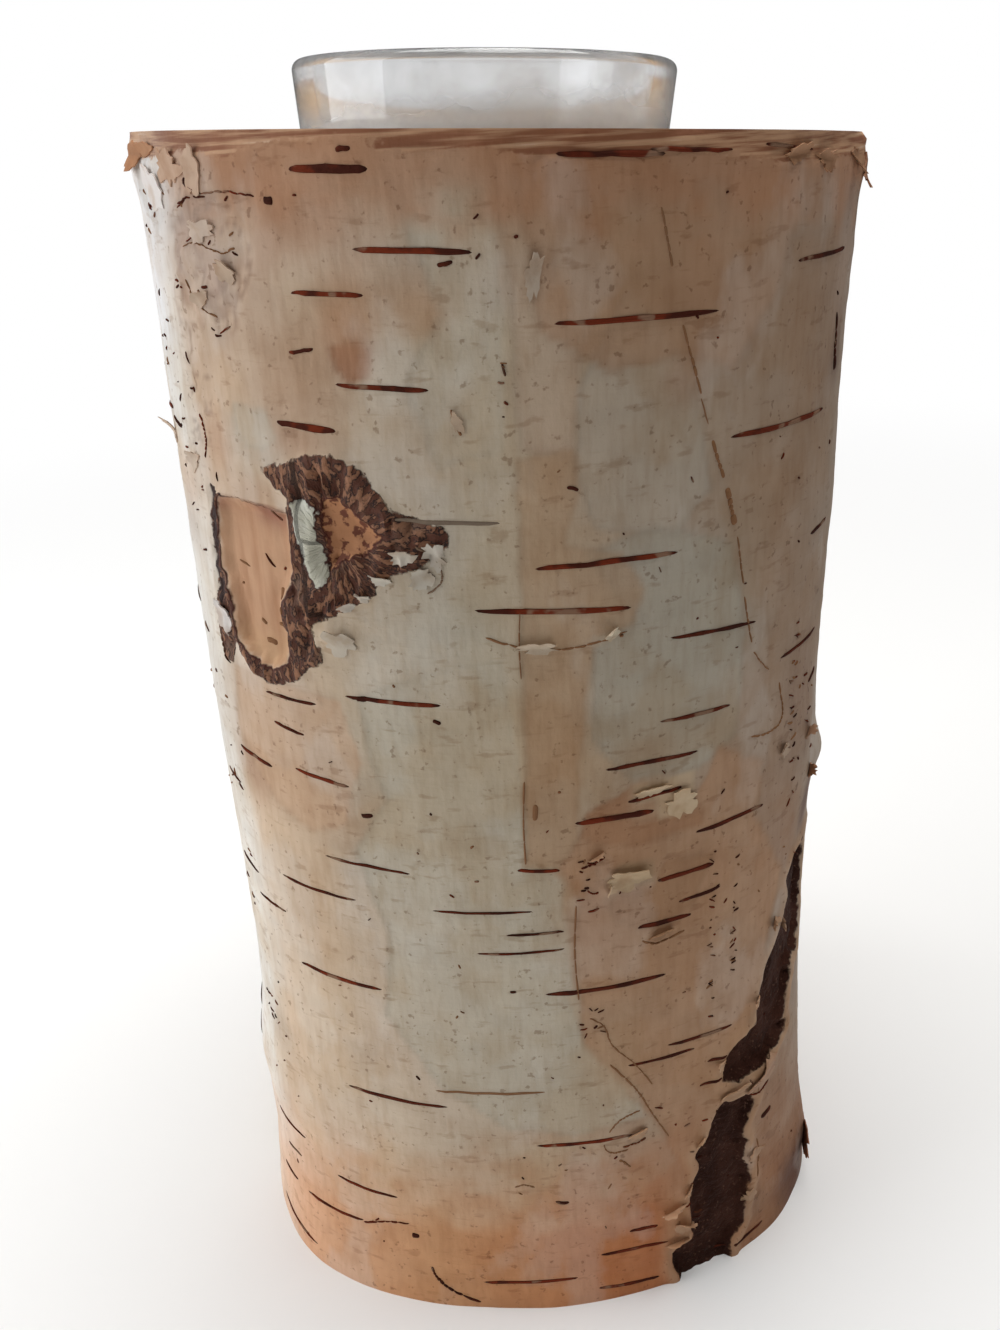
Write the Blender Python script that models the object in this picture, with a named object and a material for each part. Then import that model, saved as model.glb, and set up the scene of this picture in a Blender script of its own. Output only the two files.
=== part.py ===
"""A birch log candle holder: one sawn section of white birch with a recess bored in its top end, and a
glass cup standing in the recess. Metres, +Z up. The origin is the middle of the log's sawn foot, on the
surface that it stands on, and the side with the branch scar faces -Y."""

import math

import bmesh
import bpy
from mathutils import Matrix, Vector

MM = 0.001

# The log. Azimuths are in degrees round its upright axis: 0 faces -Y, and +90 faces +X.
LOG_HEIGHT = 187.0 * MM        # on the axis
TOP_FALL_RIGHT = 0.050         # the top cut isn't square to the log: fall per metre towards +X
TOP_FALL_BACK = 0.013          # and towards +Y
# Share of the height, and the mean radius there in mm: a slight waist, and a swelling foot.
RADIUS_STATIONS = (
    (0.0, 52.7), (0.03, 52.0), (0.1, 51.1), (0.2, 50.9),
    (0.35, 50.2), (0.55, 51.0), (0.8, 51.6), (1.0, 52.0),
)
AXIS_BEND = 1.2 * MM           # most of the stem lies this far to -X of its top
# The foot swells towards three roots: azimuth, rise at the foot in mm, half width in degrees.
ROOTS = ((-49, 6.1, 27), (53, 5.1, 27), (180, 3.5, 38))
# Lumps and hollows of the bark: azimuth, height and rise in mm, half width in degrees, half height in mm.
LUMPS = (
    (-40, 130, -1.5, 6, 10),   # bare wood where a branch has gone
    (-25, 143, 0.8, 8, 5),     # rough collar of bark above and beside it
    (-58, 110, 0.8, 6, 10),    # swelling under it
    (-66, 36, 1.1, 22, 7),     # swelling low on the left
    (50, 58, -1.2, 6, 14),     # strip where the outer bark is missing, upper half
    (37, 18, -1.2, 6, 16),     # the same strip, down to the foot
    (70, 92, 1.5, 5, 4),       # knot at the top of the strip
    (66, 10, 1.2, 6, 9),       # loose flap low on the right
    (120, 70, 1.4, 14, 20),    # swellings and a hollow of the far side
    (-130, 120, 1.2, 16, 22),
    (165, 140, -1.0, 20, 25),
)
SIDES = 72
RINGS = 30

# The recess, bored square to the slanted top cut.
RECESS_OFFSET = -1.7 * MM      # its middle lies to -X of the log's axis
RECESS_RADIUS = 28.8 * MM
RECESS_DEPTH = 48.9 * MM

# The glass cup: a tapered tumbler with a thick, rounded rim.
CUP_HEIGHT = 58.0 * MM
CUP_BASE_RADIUS = 23.0 * MM
CUP_RIM_RADIUS = 27.6 * MM
CUP_WALL = 2.8 * MM
CUP_FLOOR = 6.0 * MM
CUP_FOOT_ROUND = 2.5 * MM      # radius of the outer bottom edge
CUP_INNER_ROUND = 5.0 * MM     # radius between the inner wall and the floor
CUP_SIDES = 56
GAP = 0.3 * MM                 # between the cup and the floor of the recess

BARK_COLOUR = (0.62, 0.55, 0.48, 1.0)
GLASS_COLOUR = (0.86, 0.89, 0.9, 1.0)


def clear_scene():
    """Leave nothing in the scene but what this file makes."""
    for obj in list(bpy.data.objects):
        bpy.data.objects.remove(obj)


def material(name, colour, roughness, transmission=0.0):
    """A Principled material with one colour."""
    made = bpy.data.materials.new(name)
    made.use_nodes = True
    shader = made.node_tree.nodes["Principled BSDF"]
    shader.inputs["Base Color"].default_value = colour
    shader.inputs["Roughness"].default_value = roughness
    shader.inputs["Metallic"].default_value = 0.0
    shader.inputs["Transmission Weight"].default_value = transmission
    return made


def add_object(name, bm, finish=None):
    """Put a bmesh in the scene as a named object, round faces smooth and sawn edges sharp."""
    bmesh.ops.recalc_face_normals(bm, faces=bm.faces)
    mesh = bpy.data.meshes.new(name)
    bm.to_mesh(mesh)
    bm.free()
    mesh.shade_smooth()
    mesh.set_sharp_from_angle(angle=math.radians(40))
    made = bpy.data.objects.new(name, mesh)
    bpy.context.scene.collection.objects.link(made)
    if finish:
        mesh.materials.append(finish)
    return made


def mean_radius(share):
    """Mean radius of the log at a share of its height, eased between the stations."""
    stations = RADIUS_STATIONS
    for (low, low_radius), (high, high_radius) in zip(stations, stations[1:]):
        if share <= high:
            along = (share - low) / (high - low)
            eased = along * along * (3 - 2 * along)
            return (low_radius + (high_radius - low_radius) * eased) * MM
    return stations[-1][1] * MM


def swell(offset, half_width):
    """A smooth rise of 1, which has died away by about twice its half width."""
    return math.exp(-((offset / half_width) ** 2))


def bark_radius(azimuth, share):
    """Distance of the bark from the stem's middle, at an azimuth in degrees and a share of the height."""
    radius = mean_radius(share)
    for middle, rise, half_width in ROOTS:
        apart = (azimuth - middle + 180) % 360 - 180
        radius += (1.0 - share) * rise * MM * swell(apart, half_width)
    for middle, height, rise, half_width, half_height in LUMPS:
        above = share * LOG_HEIGHT / MM - height
        radius += rise * MM * swell(azimuth - middle, half_width) * swell(above, half_height)
    return radius


def bark_point(azimuth, share):
    """A point of the bark. Every ring is slanted by its share of the slant of the top cut."""
    bend = -AXIS_BEND * min(1.0, 2.5 * (1.0 - share))
    radius = bark_radius(azimuth, share)
    x = bend + radius * math.sin(math.radians(azimuth))
    y = -radius * math.cos(math.radians(azimuth))
    return Vector((x, y, share * top_height(x, y)))


def top_height(x, y):
    """Height of the slanted top cut above the foot."""
    return LOG_HEIGHT - TOP_FALL_RIGHT * x - TOP_FALL_BACK * y


def recess_frame():
    """The frame of the bored recess: origin in the middle of its mouth, +Z square out of the top cut."""
    outwards = Vector((TOP_FALL_RIGHT, TOP_FALL_BACK, 1.0)).normalized()
    mouth = Vector((RECESS_OFFSET, 0.0, top_height(RECESS_OFFSET, 0.0)))
    turn = Vector((0.0, 0.0, 1.0)).rotation_difference(outwards).to_matrix().to_4x4()
    return Matrix.Translation(mouth) @ turn


def make_log():
    """The section of birch: rings of bark from the foot to the top cut, closed by the two sawn ends."""
    bm = bmesh.new()
    rings = []
    for level in range(RINGS + 1):
        share = level / RINGS
        corners = [bark_point(360 * side / SIDES - 180, share) for side in range(SIDES)]
        rings.append([bm.verts.new(corner) for corner in corners])
    for lower, upper in zip(rings, rings[1:]):
        for side in range(SIDES):
            following = (side + 1) % SIDES
            bm.faces.new((lower[side], lower[following], upper[following], upper[side]))
    bm.faces.new(reversed(rings[0]))
    bm.faces.new(rings[-1])
    log = add_object("log", bm, material("birch", BARK_COLOUR, 0.8))

    cut = log.modifiers.new("recess", "BOOLEAN")
    cut.operation = "DIFFERENCE"
    cut.solver = "EXACT"
    cut.object = make_recess_cutter()
    return log


def make_recess_cutter():
    """A flat-bottomed drill, as deep as the recess and proud of its mouth."""
    proud = 12 * MM
    length = RECESS_DEPTH + proud
    bm = bmesh.new()
    bmesh.ops.create_cone(
        bm,
        cap_ends=True,
        segments=CUP_SIDES,
        radius1=RECESS_RADIUS,
        radius2=RECESS_RADIUS,
        depth=length,
        matrix=recess_frame() @ Matrix.Translation((0.0, 0.0, proud - length / 2)),
    )
    cutter = add_object("recess_cutter", bm)
    cutter.display_type = "WIRE"
    cutter.hide_render = True
    return cutter


def arc(centre_radius, centre_height, radius, start, end, steps):
    """Points (radius, height) on an arc, with its angles in degrees from straight outwards."""
    points = []
    for step in range(steps + 1):
        angle = math.radians(start + (end - start) * step / steps)
        points.append((centre_radius + radius * math.cos(angle), centre_height + radius * math.sin(angle)))
    return points


def cup_profile():
    """Half section of the cup, from the middle of its base up the outside, over the rim and down inside."""
    slope = math.degrees(math.atan2(CUP_RIM_RADIUS - CUP_BASE_RADIUS, CUP_HEIGHT))
    rim = CUP_WALL / 2
    inner_floor_radius = CUP_BASE_RADIUS + CUP_FLOOR * math.tan(math.radians(slope)) - CUP_WALL
    outside = arc(CUP_BASE_RADIUS - CUP_FOOT_ROUND, CUP_FOOT_ROUND, CUP_FOOT_ROUND, -90, -slope, 4)
    over_rim = arc(CUP_RIM_RADIUS - rim, CUP_HEIGHT - rim, rim, -slope, 180 - slope, 8)
    bend = (inner_floor_radius - CUP_INNER_ROUND, CUP_FLOOR + CUP_INNER_ROUND)
    inside = arc(*bend, CUP_INNER_ROUND, 0, -90, 5)
    return [(0.0, 0.0)] + outside + over_rim + inside + [(0.0, CUP_FLOOR)]


def make_glass_cup():
    """The cup, turned round its axis and stood on the floor of the recess."""
    bm = bmesh.new()
    stand = recess_frame() @ Matrix.Translation((0.0, 0.0, GAP - RECESS_DEPTH))
    profile = [bm.verts.new((radius, 0.0, height)) for radius, height in cup_profile()]
    edges = [bm.edges.new(pair) for pair in zip(profile, profile[1:])]
    bmesh.ops.spin(
        bm,
        geom=profile + edges,
        cent=(0.0, 0.0, 0.0),
        axis=(0.0, 0.0, 1.0),
        angle=2 * math.pi,
        steps=CUP_SIDES,
    )
    bmesh.ops.remove_doubles(bm, verts=bm.verts, dist=0.01 * MM)
    bmesh.ops.transform(bm, matrix=stand, verts=bm.verts)
    return add_object("glass_cup", bm, material("clear_glass", GLASS_COLOUR, 0.05, 1.0))


clear_scene()
make_log()
make_glass_cup()
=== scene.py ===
"""The looks of a birch log candle holder: a section of white birch with its bark on, sawn at both ends,
and a clear glass cup standing in the recess that is bored in its top."""
import math
import random

import bmesh
import bpy
import numpy as np
from mathutils import Matrix, Vector
from mathutils.bvhtree import BVHTree


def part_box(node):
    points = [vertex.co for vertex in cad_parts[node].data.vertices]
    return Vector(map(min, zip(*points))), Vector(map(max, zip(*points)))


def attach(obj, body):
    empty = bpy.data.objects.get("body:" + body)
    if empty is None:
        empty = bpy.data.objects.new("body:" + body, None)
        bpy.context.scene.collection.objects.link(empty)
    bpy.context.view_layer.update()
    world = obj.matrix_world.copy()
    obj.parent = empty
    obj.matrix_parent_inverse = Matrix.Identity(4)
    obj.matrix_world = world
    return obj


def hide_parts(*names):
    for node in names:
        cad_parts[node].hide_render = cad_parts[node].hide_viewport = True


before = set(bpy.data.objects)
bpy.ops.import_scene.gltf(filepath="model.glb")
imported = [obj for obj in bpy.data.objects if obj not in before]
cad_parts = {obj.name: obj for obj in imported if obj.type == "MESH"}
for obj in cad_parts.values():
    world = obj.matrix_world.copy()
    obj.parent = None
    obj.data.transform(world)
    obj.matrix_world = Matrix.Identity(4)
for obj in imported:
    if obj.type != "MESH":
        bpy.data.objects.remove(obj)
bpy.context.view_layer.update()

# ------------------------------------------------------------------------------------------------ the view
# The log is seen from close by, from the height of its top cut and looking down its front, so that it
# narrows towards its foot. The camera leans a little, which levels the slanted top cut.
MM = 0.001
LENS = 30.86                       # on a 36 mm sensor
EYE = Vector((0.0, -186.2, 187.7)) * MM
LOOK_DOWN = math.radians(25.2)
LOOK_LEFT = math.radians(1.2)
LEAN = math.radians(3.2)


def aim(eye, left, down, lean):
    """Matrix of a camera that looks along +Y, turned left, then down, then leaned to the right."""
    ahead = Vector((-math.sin(left), math.cos(left), 0.0))
    right = Vector((ahead.y, -ahead.x, 0.0))
    forward = ahead * math.cos(down) - Vector((0.0, 0.0, 1.0)) * math.sin(down)
    upward = right.cross(forward)
    side = right * math.cos(lean) - upward * math.sin(lean)
    raised = right * math.sin(lean) + upward * math.cos(lean)
    turn = Matrix((side, raised, -forward)).transposed().to_4x4()
    return Matrix.Translation(eye) @ turn


def add_object(name, data):
    """A new object in the scene that shows this data."""
    made = bpy.data.objects.new(name, data)
    bpy.context.scene.collection.objects.link(made)
    return made


camera_data = bpy.data.cameras.new("camera")
camera_data.lens = LENS
camera_data.clip_start = 5 * MM
camera = add_object("camera", camera_data)
camera.matrix_world = aim(EYE, LOOK_LEFT, LOOK_DOWN, LEAN)
bpy.context.scene.camera = camera

# ------------------------------------------------------------------------------------------------ the bark
# One papery coat of white birch bark round the log, about 3 mm thick. It swells to the roots at the foot,
# a branch has left a scar on its left, and a strip of the outer bark is missing low on the right.
TOP_FALL_RIGHT = 0.050             # the top cut falls this much per metre towards +X
TOP_FALL_BACK = 0.013              # and this much towards +Y
TOP_RADIUS = 52.0
LOG_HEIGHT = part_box("log")[1].z / MM - TOP_RADIUS * math.hypot(TOP_FALL_RIGHT, TOP_FALL_BACK)
DEGREE = TOP_RADIUS * math.pi / 180        # mm round the bark in one degree
AXIS_BEND = 1.2
RADIUS_STATIONS = (
    (0.0, 52.7), (0.03, 52.0), (0.1, 51.1), (0.2, 50.9), (0.35, 50.2), (0.55, 51.0), (0.8, 51.6),
    (1.0, 52.0),
)
ROOTS = ((-49, 6.1, 27), (53, 5.1, 27), (180, 3.5, 38))      # azimuth, rise in mm, half width in degrees
BARK_COLUMNS = 396
BARK_ROWS = 236
BARK_THICK = 3.0
SEED = 11
LOBE_SUNK = 0.9                    # mm that the parts of the scar and the bare strip lie in the bark
HOLLOW_SUNK = 0.5
CRACK_SUNK = 0.7
BARE_SUNK = 1.3
TORN_SUNK = 0.32
PEEL_SUNK = 0.12                   # thickness of one peeled layer
COLLAR_RISE = 0.9
WHITE_RISE = 0.25
BARE_LIP = 0.45                    # the bark curls up this far round the bare strip
FOOT_STAIN_TOP = 44                # the stain of the foot starts at this height, and is full at the next
FOOT_STAIN_FULL = 14

# Places on the bark are azimuths in degrees, 0 at the front and +90 on the right, and heights in mm.
BARE_STRIP_UPPER = (
    (53.5, 75), (54.5, 71), (54, 67.5), (50.5, 64), (47.5, 60.5), (45.5, 57), (44.5, 53), (45, 49.5),
    (39.5, 48.4), (37.4, 46.6), (36.1, 42), (39.5, 40.3), (46.3, 41.3), (50.4, 42.2), (54.5, 43.8),
    (52, 45), (53.8, 47.5), (55.2, 50.6), (58, 52.5), (56, 54.4), (58.5, 55.5), (62, 54.5), (66, 58),
    (67, 72), (66, 79), (61, 77.5), (56, 77.5),
)
BARE_STRIP_LOWER = (
    (36, 36.6), (34.5, 34), (33, 30.5), (30.6, 27), (31.5, 24), (30, 21), (29.5, 16), (29.5, 12),
    (29.5, 9), (25.6, 7.3), (26, 4), (27, -2), (36.5, -2), (37.5, 3.5), (40.5, 6), (40.5, 8.5),
    (41, 11.5), (43, 15), (42, 18.5), (40.5, 21), (42, 25.5), (40, 28), (42, 30.5), (43.5, 33.5),
    (41.5, 36),
)
SCAR_COLLAR = (
    (-38, 148), (-32.7, 149), (-28.6, 150.4), (-24.5, 150.8), (-21, 149.4), (-18, 146.6), (-16, 144.2),
    (-12, 143.2), (-8.5, 142), (-8.5, 139.8), (-12.2, 137.4), (-16.3, 136), (-19, 134.6),
    (-19.7, 132.8), (-24.5, 130.3), (-30, 127.8), (-30.6, 126), (-29.6, 123.4), (-30, 121.5),
    (-32, 120.6), (-34.7, 118.4), (-38.2, 116.8), (-41.6, 116.5), (-44.5, 117.3), (-47, 119.8),
    (-48.4, 121.6), (-49.4, 119), (-50, 117), (-52.6, 117.2), (-53.2, 121), (-53.4, 128), (-52.7, 134),
    (-51.9, 139), (-50.9, 143.4), (-46.2, 142.8), (-33.5, 142.5), (-32.2, 144.5), (-35, 146),
)
SCAR_LOBE = (
    (-47.4, 142.6), (-40, 143), (-33.3, 142.5), (-32.7, 138.4), (-32.7, 135.3), (-33.7, 132.8),
    (-34.7, 131), (-36.1, 129), (-35.8, 126.5), (-35.1, 123.4), (-36.1, 120.6), (-39.5, 119),
    (-42.9, 119.6), (-46.6, 121.5), (-47.4, 124), (-47.4, 127), (-48, 129.6), (-49, 132), (-49, 134.5),
    (-48.4, 138),
)
SCAR_CRACK = (
    (-51, 143.4), (-48.6, 142.8), (-49.4, 138), (-50.2, 133), (-50.8, 128), (-52.4, 125), (-53.3, 130),
    (-52.3, 136),
)
SCAR_HOLLOW = (
    (-27.2, 144.9), (-24, 145.2), (-21.4, 143.2), (-18, 140.7), (-20.6, 138.6), (-24.5, 137),
    (-26.8, 135.3), (-26.4, 138.5),
)
SCAR_WHITE = (
    (-31.7, 144), (-29.3, 144.7), (-27.4, 143.4), (-28, 141), (-27.4, 139), (-26.8, 136),
    (-27.4, 133.6), (-28.6, 133.2), (-30, 136), (-31.3, 139),
)
CRUMPLED = (
    (-52, 182), (-44, 184), (-36, 180), (-34, 172), (-38, 164), (-46, 162), (-48, 148), (-56, 148),
    (-54, 172),
)
# Where the edge of the top cut is torn: azimuth, and how far down in mm.
TORN_DEPTH = (
    (-180, 2.0), (-70, 3.4), (-38, 3.0), (-28, 1.3), (-8, 1.3), (2, 3.0), (25, 2.4), (40, 3.8),
    (62, 3.4), (78, 2.4), (180, 2.0),
)
# Bumps and hollows: azimuth, height, rise, half width in degrees, half height in mm.
LUMPS = (
    (70, 92, 1.5, 5, 3.5), (66, 10, 1.2, 6, 9), (-27, 126.5, 0.7, 3, 2), (-58, 110, 0.8, 6, 10),
    (-66, 36, 1.1, 22, 7), (45, 38.5, 0.8, 5, 3), (26, 14, 0.7, 4, 7), (-43, 171, 0.5, 8, 7),
    (70, 184, 0.8, 5, 4), (-70, 184, 0.6, 5, 4), (57, 100, 0.5, 5, 12), (120, 70, 1.4, 14, 20),
    (-130, 120, 1.2, 16, 22), (165, 140, -1.0, 20, 25),
)

# Colours round the log at mid height and at its stained foot: the bark's own tone and stain, with painted
# shade that darkens them to a warm brown on the right, away from the light.
BARK_TONES_AND_SHADE = (
    (-180, (0.58, 0.51, 0.43)), (-120, (0.66, 0.61, 0.54)), (-66, (0.77, 0.74, 0.70)),
    (-56, (0.77, 0.71, 0.63)), (-47, (0.70, 0.56, 0.43)), (-30, (0.64, 0.52, 0.39)),
    (-12, (0.55, 0.46, 0.35)), (-2, (0.53, 0.44, 0.32)), (14, (0.47, 0.35, 0.24)),
    (30, (0.42, 0.31, 0.22)), (45, (0.37, 0.26, 0.18)), (62, (0.35, 0.26, 0.19)),
    (95, (0.41, 0.33, 0.27)), (130, (0.53, 0.46, 0.39)), (180, (0.58, 0.51, 0.43)),
)
FOOT_STAIN_AND_SHADE = (
    (-180, (0.52, 0.36, 0.24)), (-75, (0.84, 0.80, 0.76)), (-60, (0.78, 0.57, 0.44)),
    (-47, (0.73, 0.43, 0.27)), (-20, (0.64, 0.34, 0.165)), (0, (0.58, 0.26, 0.11)),
    (20, (0.52, 0.19, 0.065)), (45, (0.34, 0.17, 0.085)), (75, (0.26, 0.14, 0.08)),
    (180, (0.52, 0.36, 0.24)),
)
FOOT_DARKER = (0.93, 0.84, 0.74)   # the lowest 15 to 20 mm are darker by these factors
TOP_COLOUR = (0.42, 0.21, 0.11)
FAR_BROWN = (0.50, 0.35, 0.24)     # patches of the far side
FAR_WHITE = (0.68, 0.63, 0.56)
INNER_BARK = (0.33, 0.17, 0.09)
LOBE_WOOD = (0.54, 0.31, 0.18)
LOBE_RED = (0.25, 0.08, 0.05)      # traces of red bark along its upper edge
LOBE_PALE = (0.60, 0.38, 0.20)     # its lower end
# Painted shade for the creases of the crumpled bark.
CREASE_SHADE = (0.24, 0.13, 0.08)
BARE_RIM = (0.48, 0.30, 0.18)
# Soft stains, and near-white washes on the left edge (azimuth -58 to -65) that are partly the bark's white
# and partly painted highlight where the light falls: azimuth, height, half width in degrees, half height in
# mm, strength, colour.
WASHES_AND_HIGHLIGHTS = (
    (-65, 174, 9, 14, 0.9, (0.92, 0.91, 0.93)), (-38, 178, 5, 6, 0.6, (0.62, 0.50, 0.38)),
    (-47, 150, 4, 4, 0.6, (0.42, 0.22, 0.13)), (9, 181, 5, 4, 0.6, (0.40, 0.22, 0.11)),
    (5, 186, 6, 3, 0.7, (0.46, 0.19, 0.07)), (34, 166, 4, 6, 0.6, (0.32, 0.20, 0.12)),
    (-28, 92, 4, 7, 0.7, (0.62, 0.56, 0.48)), (-28, 68, 4, 17, 0.7, (0.64, 0.57, 0.50)),
    (-38, 31, 6, 5, 0.7, (0.70, 0.58, 0.46)), (3, 102, 3, 5, 0.5, (0.52, 0.42, 0.31)),
    (-60, 142, 7, 5, 0.6, (0.60, 0.42, 0.30)), (-62, 134, 9, 4, 0.5, (0.56, 0.46, 0.39)),
    (62, 160, 2.5, 5, 0.7, (0.14, 0.07, 0.04)), (61, 48, 5, 6, 0.5, (0.25, 0.18, 0.14)),
    (64, 87, 4, 4, 0.8, (0.15, 0.06, 0.03)), (-40, 144, 7, 3, 0.6, (0.50, 0.33, 0.23)),
    (-50, 147, 4, 5, 0.6, (0.55, 0.40, 0.29)), (62, 176, 6, 14, 0.5, (0.50, 0.41, 0.38)),
    (-62, 180, 9, 6, 0.8, (0.84, 0.81, 0.79)), (-58, 84, 8, 12, 0.6, (0.80, 0.76, 0.70)),
    (22, 137, 8, 5, 0.8, (0.40, 0.35, 0.30)), (-50, 168, 3.5, 12, 0.5, (0.66, 0.54, 0.44)),
    (-22, 167, 5, 5, 0.5, (0.44, 0.24, 0.12)), (-11, 168, 5, 3, 0.5, (0.46, 0.29, 0.17)),
    (13, 87, 6, 9, 0.6, (0.44, 0.23, 0.115)), (33, 84, 5, 6, 0.7, (0.34, 0.17, 0.085)),
    (34, 118, 4, 6, 0.5, (0.36, 0.25, 0.18)), (52, 84, 5, 10, 0.5, (0.34, 0.20, 0.125)),
    (-42, 172, 11, 13, 0.85, (0.53, 0.37, 0.26)), (-30, 178, 12, 6, 0.7, (0.42, 0.23, 0.14)),
    (-29, 158, 9, 10, 0.7, (0.41, 0.24, 0.14)), (-20.5, 165, 3.4, 4, 0.6, (0.40, 0.20, 0.11)),
    (-50, 158, 6, 10, 0.5, (0.60, 0.45, 0.34)), (-38, 151, 5, 4, 0.8, (0.54, 0.46, 0.38)),
    (-40, 108, 12, 12, 0.7, (0.53, 0.36, 0.25)), (-48, 101, 5, 4, 0.6, (0.44, 0.27, 0.18)),
    (-27, 100, 7, 7, 0.7, (0.49, 0.34, 0.23)), (-37, 77, 9, 12, 0.5, (0.57, 0.42, 0.30)),
    (-30, 75, 5, 8, 0.6, (0.64, 0.54, 0.43)), (-20, 108, 9, 14, 0.7, (0.54, 0.47, 0.37)),
    (-10, 120, 9, 20, 0.7, (0.48, 0.43, 0.34)), (-10, 75, 5, 6, 0.6, (0.47, 0.34, 0.22)),
    (-6, 172, 14, 5, 0.7, (0.49, 0.36, 0.27)), (-12, 152, 9, 9, 0.5, (0.47, 0.38, 0.29)),
    (6.5, 149, 3.6, 5, 0.7, (0.42, 0.26, 0.15)), (11, 148, 4, 7, 0.5, (0.46, 0.38, 0.30)),
    (24, 124, 13, 15, 0.8, (0.41, 0.37, 0.30)), (22, 153, 8, 7, 0.6, (0.43, 0.34, 0.25)),
    (30, 171, 10, 8, 0.7, (0.38, 0.22, 0.13)), (52, 172, 12, 8, 0.5, (0.36, 0.25, 0.18)),
    (2, 45, 12, 12, 0.7, (0.56, 0.44, 0.33)), (12, 40, 7, 8, 0.7, (0.50, 0.39, 0.30)),
    (-18, 55, 14, 16, 0.5, (0.60, 0.47, 0.36)), (-52, 47, 5, 5, 0.7, (0.52, 0.42, 0.33)),
    (52, 27, 9, 14, 0.7, (0.33, 0.20, 0.13)), (47, 85, 8, 20, 0.5, (0.37, 0.23, 0.15)),
    (55, 108, 6, 10, 0.6, (0.30, 0.19, 0.13)), (56, 158, 5, 8, 0.3, (0.30, 0.20, 0.14)),
)
# Stains that lie over the peeled places below. The near-white one at the top left corner is partly painted
# highlight.
STAINS_AND_HIGHLIGHTS = (
    (14, 80, 8, 12, 0.35, (0.45, 0.22, 0.095)), (-58, 181, 6, 5, 0.7, (0.80, 0.77, 0.77)),
    (-38, 178, 5, 6, 0.7, (0.66, 0.54, 0.43)), (-47, 168, 3, 5, 0.6, (0.70, 0.55, 0.42)),
    (4, 186, 7, 3, 0.7, (0.44, 0.18, 0.06)), (-20, 186, 8, 3, 0.6, (0.48, 0.24, 0.12)),
    (-47, 126, 2.0, 3, 0.6, (0.62, 0.42, 0.28)), (25, 160, 4, 4, 0.5, (0.36, 0.19, 0.10)),
    (61, 85, 4, 4, 0.8, (0.12, 0.05, 0.025)), (15, 53, 5, 8, 0.55, (0.55, 0.40, 0.27)),
    (-20, 168, 4, 4, 0.6, (0.44, 0.24, 0.12)), (-11, 168, 5, 3, 0.6, (0.46, 0.29, 0.17)),
    (-30, 152, 4, 2, 0.5, (0.40, 0.22, 0.13)), (44, 9, 3, 5, 0.6, (0.25, 0.15, 0.09)),
    (60, 4, 9, 7, 0.95, (0.13, 0.045, 0.02)), (26, 13, 2.6, 8, 0.7, (0.58, 0.36, 0.22)),
    (-48, 96, 4, 3, 0.4, (0.48, 0.30, 0.20)), (20, 108, 6, 3, 0.3, (0.40, 0.27, 0.17)),
)
# Places where a layer has peeled off and left an edge: colour and outline.
PEELED = (
    ((0.53, 0.47, 0.37), (
        (-24, 118), (-14, 122), (-2, 124), (0.4, 110), (0.4, 92), (6, 88), (7, 66), (9, 56), (16, 47),
        (20, 40), (9, 39), (-5, 41), (-16, 49), (-26, 62), (-23, 78), (-28, 92), (-22, 102),
    )),
    ((0.52, 0.45, 0.35), (
        (-16, 187), (-2, 187), (0, 168), (-1, 152), (-9, 150), (-13, 160), (-8, 168),
    )),
    ((0.50, 0.37, 0.27), ((-2, 187), (1, 170), (2, 152), (9, 151), (10, 163), (6, 176), (8, 187))),
    ((0.46, 0.39, 0.31), ((10, 160), (16, 170), (27, 158), (30, 145), (24, 140), (12, 142), (9, 150))),
    ((0.43, 0.38, 0.30), (
        (10, 139), (22, 141), (34, 137), (38, 124), (37, 108), (30, 104), (18, 104), (12, 112),
        (12, 125), (19, 129),
    )),
    ((0.60, 0.42, 0.29), (
        (-50, 117), (-28, 116), (-25, 107), (-29, 96), (-36, 93), (-44, 96), (-52, 106),
    )),
    ((0.44, 0.27, 0.165), (
        (2, 184), (14, 186), (27, 181), (38, 183), (45, 178), (40, 168), (33, 160), (24, 163),
        (14, 161), (5, 166),
    )),
    ((0.45, 0.29, 0.17), (
        (1, 151), (1.5, 138), (1, 127), (1, 110), (0.3, 91.5), (7, 91.5), (9.5, 96), (9.5, 108),
        (11, 119), (11.5, 127), (18, 128), (19, 133), (16, 138.5), (8, 140), (9.5, 146), (9, 152),
    )),
    ((0.45, 0.26, 0.145), (
        (6, 91), (9, 85.5), (8, 75), (8.5, 65), (10, 57), (13.5, 52), (19, 46), (21, 41), (25, 33),
        (28, 24), (26, 12), (31, 9), (37, 25), (38, 42), (44, 55), (51, 78), (42, 92), (44, 101),
        (34, 106), (28, 97), (20, 104), (12, 101), (9, 96),
    )),
    ((0.39, 0.20, 0.10), ((9, 95.5), (18, 93), (31, 94), (30, 97), (18, 97), (17, 102.5), (10, 100))),
    ((0.37, 0.20, 0.10), ((14, 84.5), (22, 85), (24, 90), (33, 88), (30, 80), (20, 77.5), (15, 80))),
    ((0.58, 0.43, 0.28), ((18.5, 103), (29, 103.5), (29, 97), (23, 96.5), (22.5, 100), (19, 100.5))),
    ((0.50, 0.36, 0.22), ((13.8, 88), (16, 89.8), (22, 89.5), (22.3, 86), (18, 85.5), (14.5, 84.5))),
    ((0.41, 0.25, 0.17), (
        (-51, 176), (-47, 180), (-38, 179), (-36, 173), (-43, 168), (-47, 164), (-51, 168),
    )),
    ((0.34, 0.15, 0.07), (
        (-23.5, 163.5), (-20, 165), (-17.5, 164), (-18, 160.5), (-21, 159.3), (-23.5, 161),
    )),
    ((0.66, 0.62, 0.57), ((-66, 185), (-53, 184.5), (-52, 179), (-58, 176), (-66, 180))),
    ((0.56, 0.49, 0.40), ((-41, 155), (-35, 155.5), (-33, 152), (-37, 150), (-42, 151.5))),
)


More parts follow.
